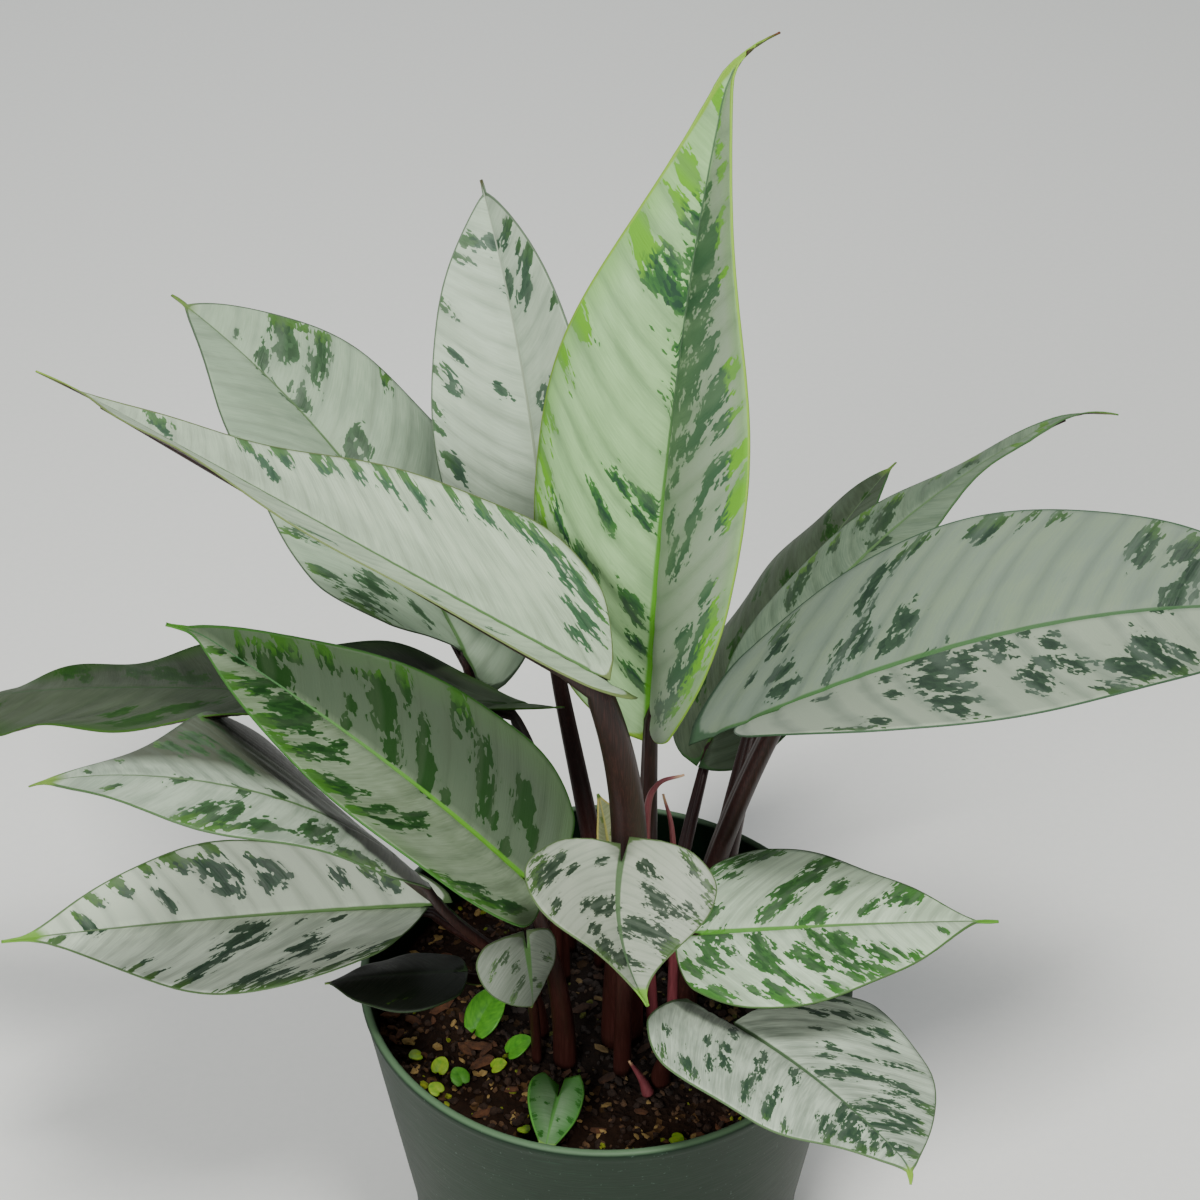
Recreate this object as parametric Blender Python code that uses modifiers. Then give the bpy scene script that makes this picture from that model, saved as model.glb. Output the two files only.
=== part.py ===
"""Potted apoballis: a clump of silver-leaved, burgundy-stalked leaves in a round nursery pot.

Metres, +Z up. The origin is the middle of the pot's flat base, and the best side faces -Y.
"""

import math

import bmesh
import bpy
from mathutils import Matrix, Vector

# Pot
RIM_RADIUS = 0.079
POT_HEIGHT = 0.125
BEND_HEIGHT = 0.032
BEND_RADIUS = 0.0655
RIM_BEAD = 0.0014
FOOT_RADIUS = 0.064
WALL = 0.0016
FLOOR_LIFT = 0.003
PAD_RADIUS = 0.014
DRAIN_RING = 0.038
DRAIN_RADIUS = 0.004
DRAIN_COUNT = 6
ROUND_STEPS = 40
MERGE_DISTANCE = 0.00001
FLOOR_ROUND = 0.003
EDGE_ROUND = 0.0006
FOOT_ROUND = 0.0008
FOOT_RING = 0.006
FOOT_SLOPE = 0.002
RIM_FACE = 2.6 * RIM_BEAD
DRAIN_SIDES = 12
DRAIN_CUT_DEPTH = 0.012

# Soil
SOIL_TOP = 0.102
SOIL_CROWN = 0.005
SOIL_RINGS = 5
SOIL_RADIUS = 0.07
SOIL_FOOT = 0.004

# Plant: blades are shells on a grid, and the hook turns over HOOK_REACH drip-tip lengths
GAP = 0.0003
BLADE_THICKNESS = 0.0009
TIP_HALF_WIDTH = 0.0006
VEIN_LEAN = 0.06
BLADE_STEPS = 14
HALF_STEPS = 3
MIDRIB_STEPS = 48
DROOP_POWER = 1.3
HEEL_POWER = 0.8
HOOK_REACH = 2.2
LOBE_POWER = 1.5
STALK_NECK = 1.6
STALK_STEPS = 9
STALK_STAND_OFF = 0.003
STALK_RISE = 0.35
STALK_ARRIVAL = 0.30
STALK_ALONG_BLADE = 0.45
STALK_UPRIGHT = 0.55
STALK_STRAIGHT = 0.5
STALK_TAPER = 0.9
SHOOT_TAPER = 0.8
LEVEL_UP = Vector((0, 0, 1))
MM = 0.001

# What most blades share: depth of the two lobes behind the stalk and how unequal they are,
# width there, place of the widest part along the midrib, sharpness of the tip, how much wider
# the right half is and how that grows towards the tip, cupping across each half, the share of
# the length in the thread-like drip tip, and how far that turns (degrees, sideways and up).
OUTLINE = dict(
    lobe=0.10, lean=0.0, heel=0.50, widest=0.28, tip=1.2, skew=0.0, drift=0.0,
    cup=0.0, drip=0.05, hook=(0, 0),
)

# Each leaf: where its blade meets its stalk (mm), length and width (mm), the midrib's
# heading and rise (degrees), how far it droops and swings towards the tip, the blade's
# roll and twist about the midrib, its fold along the midrib and how far that opens towards
# the tip, where its stalk leaves the soil (mm), and the stalk's radius there and at its
# neck (mm).
LEAVES = {
    "tall": dict(
        at=(13, 5, 227), length=213, width=109, azimuth=51, rise=88,
        droop=14, swing=-11, roll=18, twist=-32, fold=38, unfold=-2,
        cup=0.29, lobe=0.04, heel=0.4, tip=1.5, skew=0.22, drift=0.17, lean=-0.7,
        drip=0.06, hook=(-75, -40),
        foot=(12, 2), sheath=5, neck=2.4,
    ),
    "upright": dict(
        at=(-19, 55, 237), length=131, width=56, azimuth=116, rise=87,
        droop=60, swing=-11, roll=39, twist=-5, fold=26, unfold=-6,
        cup=0.06, widest=0.34, tip=0.9, skew=-0.05, drift=0.04, lean=0.1,
        foot=(0, 18), sheath=3.5,
    ),
    "left_arch": dict(
        at=(-5, -38, 274), length=183, width=64, azimuth=165, rise=24,
        droop=23, swing=-25, roll=-15, twist=-18, fold=4, unfold=-7,
        cup=-0.17, lobe=0.06, heel=0.4, widest=0.2, tip=1.1, skew=0.09, drift=-0.4,
        lean=-0.4, drip=0.08, hook=(25, 20),
        foot=(5, -15), sheath=6, neck=3.4,
    ),
    "left_back": dict(
        at=(-46, 58, 208), length=154, width=99, azimuth=123, rise=36,
        droop=9, swing=31, roll=-22, twist=32, fold=38, unfold=18,
        cup=0.34, lobe=0.06, heel=0.44, widest=0.2, tip=0.9, skew=-0.09, drift=0.17,
        lean=0.9,
        foot=(-13, 25), sheath=3,
    ),
    "right_big": dict(
        at=(54, 14, 220), length=187, width=105, azimuth=-5, rise=31,
        droop=55, swing=17, roll=13, twist=-45, fold=19, unfold=5,
        lobe=0.13, heel=0.4, widest=0.2, tip=1.5, skew=0.09, drift=-0.18, lean=-0.4,
        foot=(25, -2), sheath=5, neck=3.4,
    ),
    "right_near": dict(
        at=(36, 78, 156), length=117, width=74, azimuth=50, rise=44,
        droop=24, swing=-4, roll=23, twist=15, fold=10, unfold=1,
        cup=0.34, widest=0.33, tip=1, skew=-0.11, drift=-0.14, drip=0.04,
        foot=(20, 18), sheath=3,
    ),
    "right_far": dict(
        at=(52, 54, 202), length=157, width=41, azimuth=57, rise=21,
        droop=1, swing=-45, roll=17, twist=5, fold=6, unfold=15,
        cup=0.12, widest=0.2, tip=1.8, skew=-0.3, drift=-0.39, lean=-0.1, drip=0.08,
        hook=(-10, -30),
        foot=(33, 11), sheath=6, neck=2.6,
    ),
    "mid_left": dict(
        at=(-24, -30, 190), length=135, width=60, azimuth=179, rise=51,
        droop=50, swing=-40, roll=24, twist=15, fold=28, unfold=-20,
        cup=-0.14, lobe=0.06, widest=0.22, drift=0.08, lean=0.1, drip=0.06, hook=(25, 0),
        foot=(-13, -25), sheath=3.5,
    ),
    "far_left": dict(
        at=(-31, 17, 219), length=218, width=78, azimuth=181, rise=4,
        droop=40, swing=-36, roll=-32, twist=37, fold=-5, unfold=9,
        cup=-0.19, lobe=0.06, heel=0.26, widest=0.2, tip=1.1, skew=-0.05, drift=-0.4,
        lean=-0.4,
        foot=(-15, 10), sheath=3.5,
    ),
    "left_mid": dict(
        at=(-54, -36, 196), length=131, width=85, azimuth=210, rise=60,
        droop=88, swing=-44, roll=-10, twist=-5, fold=-5, unfold=2,
        lobe=0.15, heel=0.4, widest=0.26, tip=1.3, skew=0.3, drift=-0.26, lean=0.9,
        foot=(-21, -12), sheath=3,
    ),
    "left_low": dict(
        at=(-58, 4, 147), length=138, width=69, azimuth=-184, rise=-7,
        droop=1, swing=6, roll=15, twist=14, fold=37, unfold=12,
        lobe=0.04, heel=0.4, tip=1.5, skew=-0.2, drift=0.4, lean=0.7,
        foot=(-23, 2), sheath=3,
    ),
    "front": dict(
        at=(4, -50, 215), length=48, width=56, azimuth=-100, rise=-17,
        droop=-8, swing=37, roll=4, twist=27, fold=19, unfold=-10,
        cup=0.13, lobe=0.14, heel=0.4, widest=0.23, tip=1.7, skew=0.07, drift=0.12,
        lean=-0.2, steps=8,
        foot=(5, -29), sheath=2.5,
    ),
    "right_mid": dict(
        at=(28, -30, 168), length=89, width=63, azimuth=-9, rise=13,
        droop=14, swing=10, roll=-7, twist=14, fold=8, unfold=8,
        cup=0.12, lobe=0.07, widest=0.2, tip=1.1, drift=0.09, lean=0.2, drip=0.09,
        foot=(27, -22), sheath=3,
    ),
    "right_low": dict(
        at=(38, -50, 150), length=82, width=82, azimuth=-45, rise=7,
        droop=3, swing=-18, roll=18, twist=-3, fold=13, unfold=20,
        cup=0.08, lobe=0.12, heel=0.4, widest=0.2, tip=1.1, skew=-0.08, drift=-0.09,
        lean=0.9, drip=0.06, hook=(-30, -15),
        foot=(17, -33), sheath=3,
    ),
    "pot_small": dict(
        at=(-23, -50, 181), length=21, width=26, azimuth=-77, rise=-64,
        droop=33, swing=14, roll=19, twist=10, fold=-5, unfold=-4,
        cup=0.19, lobe=0.25, heel=0.55, widest=0.2, tip=1.1, skew=0.08, drift=-0.09,
        steps=8,
        foot=(-22, -24), sheath=1.6,
    ),
    "baby": dict(
        at=(-15, -44, 112), length=27, width=20, azimuth=-100, rise=8,
        droop=5, swing=4, roll=8, twist=5, fold=38, unfold=1,
        lobe=0.25, heel=0.55, widest=0.23, tip=1.1, skew=0.04, drift=-0.06, lean=-0.3,
        steps=8,
        foot=(-13, -40), sheath=1.2,
    ),
    "rim": dict(
        at=(-47, -20, 142), length=42, width=31, azimuth=185, rise=1,
        droop=24, swing=-15, roll=-13, twist=1, fold=-1, unfold=4,
        cup=0.12, widest=0.25, tip=1.1, skew=-0.06, steps=8,
        foot=(-32, 6), sheath=1.6,
    ),
    "folded": dict(
        at=(1, 5, 163), length=26, width=17, azimuth=125, rise=84,
        droop=18, swing=0, roll=-10, twist=0, fold=30, unfold=0, steps=8,
        foot=(2, 3), sheath=1.6,
    ),
}

# Young growth: points from the soil to the tip (mm) and the radius at the foot (mm).
SHOOTS = {
    "spear_curved": ([(15, -11, 108), (13, -11, 150), (12, -10, 195), (15, -9, 208), (23, -9, 212)], 2.2),
    "spear_straight": ([(21, -12, 108), (21, -10, 150), (20, -7, 186), (17, -5, 201)], 2.0),
    "spear_bud": ([(13, -38, 107), (11, -37, 112), (7, -36, 119)], 2.6),
}

# Weed seedlings: foot on the soil (mm), heading and rise (degrees), length and width (mm).
SEEDLINGS = {
    "seedling_large": ((-42, -12, 108), 48, 50, 17, 12),
    "seedling_dark": ((-31, -22, 108), 20, 42, 9, 7),
    "seedling_small": ((-45, -34, 107), 120, 35, 6, 5),
}

POT_GREEN = (0.030, 0.070, 0.052)
SOIL_BROWN = (0.070, 0.038, 0.022)
LEAF_SILVER = (0.40, 0.46, 0.38)
STALK_BURGUNDY = (0.075, 0.020, 0.018)
SPEAR_PINK = (0.30, 0.07, 0.08)
SEEDLING_GREEN = (0.16, 0.42, 0.04)


def clear_scene():
    for item in list(bpy.data.objects):
        bpy.data.objects.remove(item, do_unlink=True)


def make_collection(name):
    group = bpy.data.collections.new(name)
    bpy.context.scene.collection.children.link(group)
    return group


def make_material(name, colour, roughness):
    material = bpy.data.materials.new(name)
    material.use_nodes = True
    shader = material.node_tree.nodes["Principled BSDF"]
    shader.inputs["Base Color"].default_value = (*colour, 1.0)
    shader.inputs["Roughness"].default_value = roughness
    shader.inputs["Metallic"].default_value = 0.0
    return material


def add_object(group, name, data, material):
    data.materials.clear()
    data.materials.append(material)
    item = bpy.data.objects.new(name, data)
    group.objects.link(item)
    return item


def turned(group, name, profile, material):
    """A solid of revolution from (radius, height) points listed down its outer side."""
    mesh = bpy.data.meshes.new(name)
    edges = [(i, i + 1) for i in range(len(profile) - 1)]
    mesh.from_pydata([(r, 0.0, z) for r, z in profile], edges, [])
    item = add_object(group, name, mesh, material)
    screw = item.modifiers.new("turn", "SCREW")
    screw.axis = "Z"
    screw.angle = math.tau
    screw.steps = ROUND_STEPS
    screw.render_steps = ROUND_STEPS
    screw.use_merge_vertices = True
    screw.merge_threshold = MERGE_DISTANCE
    screw.use_smooth_shade = True
    return item


def pot_inner_radius(height):
    """Radius of the pot's inside, which widens faster above the bend than below it."""
    if height < BEND_HEIGHT:
        share = (height - FLOOR_LIFT) / (BEND_HEIGHT - FLOOR_LIFT)
        return FOOT_RADIUS + (BEND_RADIUS - FOOT_RADIUS) * share - WALL
    share = (height - BEND_HEIGHT) / (POT_HEIGHT - BEND_HEIGHT)
    return BEND_RADIUS + (RIM_RADIUS - BEND_RADIUS) * share - WALL


def pot_profile():
    floor_top = FLOOR_LIFT + WALL
    bead_foot = POT_HEIGHT - RIM_FACE
    inside = [
        (0.0, floor_top),
        (pot_inner_radius(floor_top) - FLOOR_ROUND, floor_top),
        (pot_inner_radius(floor_top + FLOOR_ROUND), floor_top + FLOOR_ROUND),
        (pot_inner_radius(BEND_HEIGHT), BEND_HEIGHT),
        (pot_inner_radius(bead_foot), bead_foot),
        (RIM_RADIUS - WALL - RIM_BEAD, POT_HEIGHT - RIM_BEAD),
    ]
    rim = [
        (RIM_RADIUS - WALL, POT_HEIGHT - 0.2 * RIM_BEAD),
        (RIM_RADIUS - 0.5 * RIM_BEAD, POT_HEIGHT),
        (RIM_RADIUS, POT_HEIGHT - RIM_BEAD),
        (RIM_RADIUS - EDGE_ROUND, bead_foot),
    ]
    outside = [
        (BEND_RADIUS, BEND_HEIGHT),
        (FOOT_RADIUS, FOOT_ROUND),
        (FOOT_RADIUS - FOOT_ROUND, 0.0),
        (FOOT_RADIUS - FOOT_RING, 0.0),
        (FOOT_RADIUS - FOOT_RING - FOOT_SLOPE, FLOOR_LIFT),
        (PAD_RADIUS + FOOT_SLOPE, FLOOR_LIFT),
        (PAD_RADIUS, 0.0),
        (0.0, 0.0),
    ]
    return inside + rim + outside


def make_pot(group, cutters, material):
    pot = turned(group, "pot", pot_profile(), material)
    mesh = bmesh.new()
    for k in range(DRAIN_COUNT):
        angle = math.tau * k / DRAIN_COUNT
        place = Matrix.Translation(
            (DRAIN_RING * math.cos(angle), DRAIN_RING * math.sin(angle), FLOOR_LIFT)
        )
        bmesh.ops.create_cone(
            mesh,
            cap_ends=True,
            segments=DRAIN_SIDES,
            radius1=DRAIN_RADIUS,
            radius2=DRAIN_RADIUS,
            depth=DRAIN_CUT_DEPTH,
            matrix=place,
        )
    data = bpy.data.meshes.new("drain_cutter")
    mesh.to_mesh(data)
    mesh.free()
    cutter = bpy.data.objects.new("drain_cutter", data)
    cutters.objects.link(cutter)
    cutter.hide_render = True
    cutter.display_type = "WIRE"
    cut = pot.modifiers.new("drain_holes", "BOOLEAN")
    cut.operation = "DIFFERENCE"
    cut.object = cutter
    return pot


def soil_height(radius):
    return SOIL_TOP + SOIL_CROWN * (1.0 - (radius / SOIL_RADIUS) ** 2)


def make_soil(group, material):
    clear = 2.0 * GAP
    bottom = FLOOR_LIFT + WALL + clear
    edge = pot_inner_radius(SOIL_TOP) - clear
    rings = [edge * k / SOIL_RINGS for k in range(SOIL_RINGS + 1)]
    top = [(r, soil_height(r)) for r in rings]
    side = [
        (pot_inner_radius(BEND_HEIGHT) - clear, BEND_HEIGHT),
        (pot_inner_radius(bottom + SOIL_FOOT) - clear, bottom + SOIL_FOOT),
        (pot_inner_radius(bottom) - SOIL_FOOT, bottom),
        (0.0, bottom),
    ]
    return turned(group, "soil", top + side, material)


def heading(azimuth, rise):
    """Unit vector at an azimuth from +X and a rise above level, both in degrees."""
    a = math.radians(azimuth)
    r = math.radians(rise)
    return Vector((math.cos(r) * math.cos(a), math.cos(r) * math.sin(a), math.sin(r)))


def bearing(leaf, s):
    """Azimuth and rise of the midrib at a share s of its length, with the drip tip's turn."""
    bend = HOOK_REACH * leaf["drip"]
    x = min(max((s - 1.0 + bend) / bend, 0.0), 1.0)
    turned_in = x * x * (3.0 - 2.0 * x)
    sideways, up = leaf["hook"]
    azimuth = leaf["azimuth"] + leaf["swing"] * s + sideways * turned_in
    return azimuth, leaf["rise"] - leaf["droop"] * s**DROOP_POWER + up * turned_in


def midrib(leaf):
    """Point, forward, right and upper directions at equal steps from the stalk to the tip."""
    place = Vector(leaf["at"]) * MM
    step = leaf["length"] * MM / MIDRIB_STEPS
    frames = []
    for k in range(MIDRIB_STEPS + 1):
        s = k / MIDRIB_STEPS
        azimuth, rise = bearing(leaf, s)
        forward = heading(azimuth, rise)
        level = Vector((math.sin(math.radians(azimuth)), -math.cos(math.radians(azimuth)), 0.0))
        upward = level.cross(forward)
        turn = math.radians(leaf["roll"] + leaf["twist"] * s)
        right = level * math.cos(turn) + upward * math.sin(turn)
        upper = upward * math.cos(turn) - level * math.sin(turn)
        frames.append((place.copy(), forward, right, upper))
        place += step * heading(*bearing(leaf, s + 0.5 / MIDRIB_STEPS))
    return frames


def frame_at(frames, s):
    """The midrib's frame at a share s of its length, mixed from the two nearest steps."""
    x = min(max(s, 0.0), 1.0) * MIDRIB_STEPS
    low = min(int(x), MIDRIB_STEPS - 1)
    share = x - low
    return [a.lerp(b, share) for a, b in zip(frames[low], frames[low + 1])]


def half_width_share(leaf, s):
    """Half width at s as a share of the widest half width: a rounded heel, then a drawn-out tip."""
    widest = leaf["widest"]
    if s < widest:
        heel = leaf["heel"]
        return heel + (1.0 - heel) * math.sin(0.5 * math.pi * s / widest) ** HEEL_POWER
    along = min((s - widest) / (1.0 - leaf["drip"] - widest), 1.0)
    return max(math.cos(0.5 * math.pi * along), 0.0) ** leaf["tip"]


def blade_point(leaf, frames, s, side):
    """Surface point at s along the midrib and at side, from -1 to 1 across the blade."""
    place, forward, right, upper = frame_at(frames, s)
    length = leaf["length"] * MM
    half = 0.5 * leaf["width"] * MM
    hand = math.copysign(1.0, side)
    wider = 1.0 + hand * (leaf["skew"] + leaf["drift"] * (2.0 * s - 1.0))
    across = half * half_width_share(leaf, s) * side * wider + TIP_HALF_WIDTH * side
    out = abs(across)
    lobe = leaf["lobe"] * (1.0 + hand * leaf["lean"])
    back = lobe * max(1.0 - 2.0 * s, 0.0) ** 2 * abs(side) ** LOBE_POWER
    ahead = VEIN_LEAN * math.sin(math.pi * s) * side * side
    fold = math.radians(leaf["fold"] - leaf["unfold"] * s)
    lift = math.sin(fold) * out - leaf["cup"] * out * out / half
    return place + forward * length * (ahead - back) + right * across * math.cos(fold) + upper * lift


def make_blade(group, name, leaf, material):
    frames = midrib(leaf)
    mesh = bmesh.new()
    bmesh.ops.create_grid(mesh, x_segments=leaf["steps"], y_segments=2 * HALF_STEPS, size=1.0)
    for vertex in mesh.verts:
        s = 0.5 * (vertex.co.x + 1.0)
        vertex.co = blade_point(leaf, frames, s, -vertex.co.y)
    data = bpy.data.meshes.new(name)
    mesh.to_mesh(data)
    mesh.free()
    data.shade_smooth()
    item = add_object(group, name, data, material)
    shell = item.modifiers.new("thickness", "SOLIDIFY")
    shell.thickness = BLADE_THICKNESS
    shell.offset = 0.0
    return item


def bezier(a, b, c, d, t):
    u = 1.0 - t
    return a * u**3 + b * 3.0 * u * u * t + c * 3.0 * u * t * t + d * t**3


def tube(group, name, points, radii, material):
    curve = bpy.data.curves.new(name, "CURVE")
    curve.dimensions = "3D"
    curve.bevel_depth = 1.0
    curve.bevel_resolution = 2
    curve.use_fill_caps = True
    spline = curve.splines.new("POLY")
    spline.points.add(len(points) - 1)
    for knot, point, radius in zip(spline.points, points, radii):
        knot.co = (*point, 1.0)
        knot.radius = radius
    spline.use_smooth = True
    return add_object(group, name, curve, material)


def make_stalk(group, name, leaf, material):
    """A petiole that rises from the soil, thick and sheathing below, to the blade's heel."""
    frames = midrib(leaf)
    place, forward, _, _ = frames[0]
    x, y = (v * MM for v in leaf["foot"])
    inner = max(math.hypot(x, y) - leaf["sheath"] * MM, 0.0)
    foot = Vector((x, y, soil_height(inner) + 2.0 * GAP))
    reach = (place - foot).length
    arrive = forward * STALK_ALONG_BLADE + LEVEL_UP * STALK_UPRIGHT
    arrive = (arrive + (place - foot).normalized() * STALK_STRAIGHT).normalized()
    end = place - arrive * STALK_STAND_OFF
    rise = foot + LEVEL_UP * STALK_RISE * reach
    turn = end - arrive * STALK_ARRIVAL * reach
    points = []
    radii = []
    for k in range(STALK_STEPS + 1):
        t = k / STALK_STEPS
        points.append(bezier(foot, rise, turn, end, t))
        radii.append(MM * (leaf["neck"] + (leaf["sheath"] - leaf["neck"]) * (1.0 - t) ** STALK_TAPER))
    return tube(group, name, points, radii, material)


def make_shoot(group, name, knots, foot_radius, material):
    points = [Vector(knot) * MM for knot in knots]
    last = len(points) - 1
    radii = [foot_radius * MM * (1.0 - SHOOT_TAPER * k / last) for k in range(last + 1)]
    return tube(group, name, points, radii, material)


def full_leaf(entry):
    return {**OUTLINE, "steps": BLADE_STEPS, "neck": STALK_NECK, **entry}


def seedling_leaf(place, azimuth, rise, length, width):
    bend = dict(droop=40, swing=0, roll=0, twist=0, fold=8, unfold=0, cup=0.1)
    return full_leaf(
        dict(at=place, azimuth=azimuth, rise=rise, length=length, width=width, steps=6, tip=0.8, **bend)
    )


def main():
    clear_scene()
    plant = make_collection("potted_apoballis")
    cutters = make_collection("cutters")
    leaf_paint = make_material("leaf_silver", LEAF_SILVER, 0.45)
    stalk_paint = make_material("stalk_burgundy", STALK_BURGUNDY, 0.5)
    spear_paint = make_material("spear_pink", SPEAR_PINK, 0.45)
    seedling_paint = make_material("seedling_green", SEEDLING_GREEN, 0.5)
    make_pot(plant, cutters, make_material("pot_green_plastic", POT_GREEN, 0.4))
    make_soil(plant, make_material("soil_brown", SOIL_BROWN, 0.95))
    for name, entry in LEAVES.items():
        leaf = full_leaf(entry)
        make_blade(plant, "blade_" + name, leaf, leaf_paint)
        make_stalk(plant, "petiole_" + name, leaf, stalk_paint)
    for name, (knots, foot_radius) in SHOOTS.items():
        make_shoot(plant, name, knots, foot_radius, spear_paint)
    for name, numbers in SEEDLINGS.items():
        make_blade(plant, name, seedling_leaf(*numbers), seedling_paint)


main()
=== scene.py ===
import bmesh
import bpy
import math
import random
import numpy as np
from mathutils import Matrix, Vector, noise


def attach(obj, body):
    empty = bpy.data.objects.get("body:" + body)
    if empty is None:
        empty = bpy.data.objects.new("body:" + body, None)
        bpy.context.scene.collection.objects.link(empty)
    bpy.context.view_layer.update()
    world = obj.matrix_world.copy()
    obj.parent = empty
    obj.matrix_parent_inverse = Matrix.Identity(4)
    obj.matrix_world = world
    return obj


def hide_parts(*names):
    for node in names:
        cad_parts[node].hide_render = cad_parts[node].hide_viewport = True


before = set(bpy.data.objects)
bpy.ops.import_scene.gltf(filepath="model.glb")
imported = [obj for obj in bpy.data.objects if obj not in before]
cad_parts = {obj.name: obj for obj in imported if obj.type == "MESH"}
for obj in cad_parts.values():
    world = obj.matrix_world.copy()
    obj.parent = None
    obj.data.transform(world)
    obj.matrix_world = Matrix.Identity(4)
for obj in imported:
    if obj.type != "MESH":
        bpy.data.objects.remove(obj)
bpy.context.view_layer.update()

mm = 0.001


def linearColour(hexCode, alpha=1.0):
    # sRGB hex to the linear values that the shaders work in
    channels = [int(hexCode[i : i + 2], 16) / 255 for i in (1, 3, 5)]
    return (*(c / 12.92 if c <= 0.04045 else ((c + 0.055) / 1.055) ** 2.4 for c in channels), alpha)


def addNode(tree, kind, sockets=None, **settings):
    # a socket takes another node's output, a number or a hex colour
    made = tree.nodes.new(kind)
    for key, value in settings.items():
        setattr(made, key, value)
    for key, value in (sockets or {}).items():
        if isinstance(value, bpy.types.NodeSocket):
            tree.links.new(value, made.inputs[key])
        else:
            made.inputs[key].default_value = linearColour(value) if isinstance(value, str) else value
    return made


def startMaterial(name):
    material = bpy.data.materials.new(name)
    material.use_nodes = True
    tree = material.node_tree
    return material, tree, tree.nodes["Principled BSDF"]


def addPiece(name, data, materials, slot, *nodes):
    data.materials.clear()
    for material in materials:
        data.materials.append(material)
    piece = bpy.data.objects.new(name, data)
    bpy.context.scene.collection.objects.link(piece)
    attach(piece, "root")
    if nodes:
        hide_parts(*nodes)
    return piece


def smoothStep(low, high, x):
    t = np.clip((x - low) / (high - low), 0.0, 1.0)
    return t * t * (3.0 - 2.0 * t)


# Leaf blades. Lengths and places are in mm and angles in degrees, as the solids have them, but
# leftMid is 9 mm wider here and more lopsided, for a fuller right half.
outline = dict(
    lobe=0.10, lean=0.0, heel=0.50, widest=0.28, tip=1.2, skew=0.0, drift=0.0,
    cup=0.0, drip=0.05, hook=(0, 0), neck=1.6,
)

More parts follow.
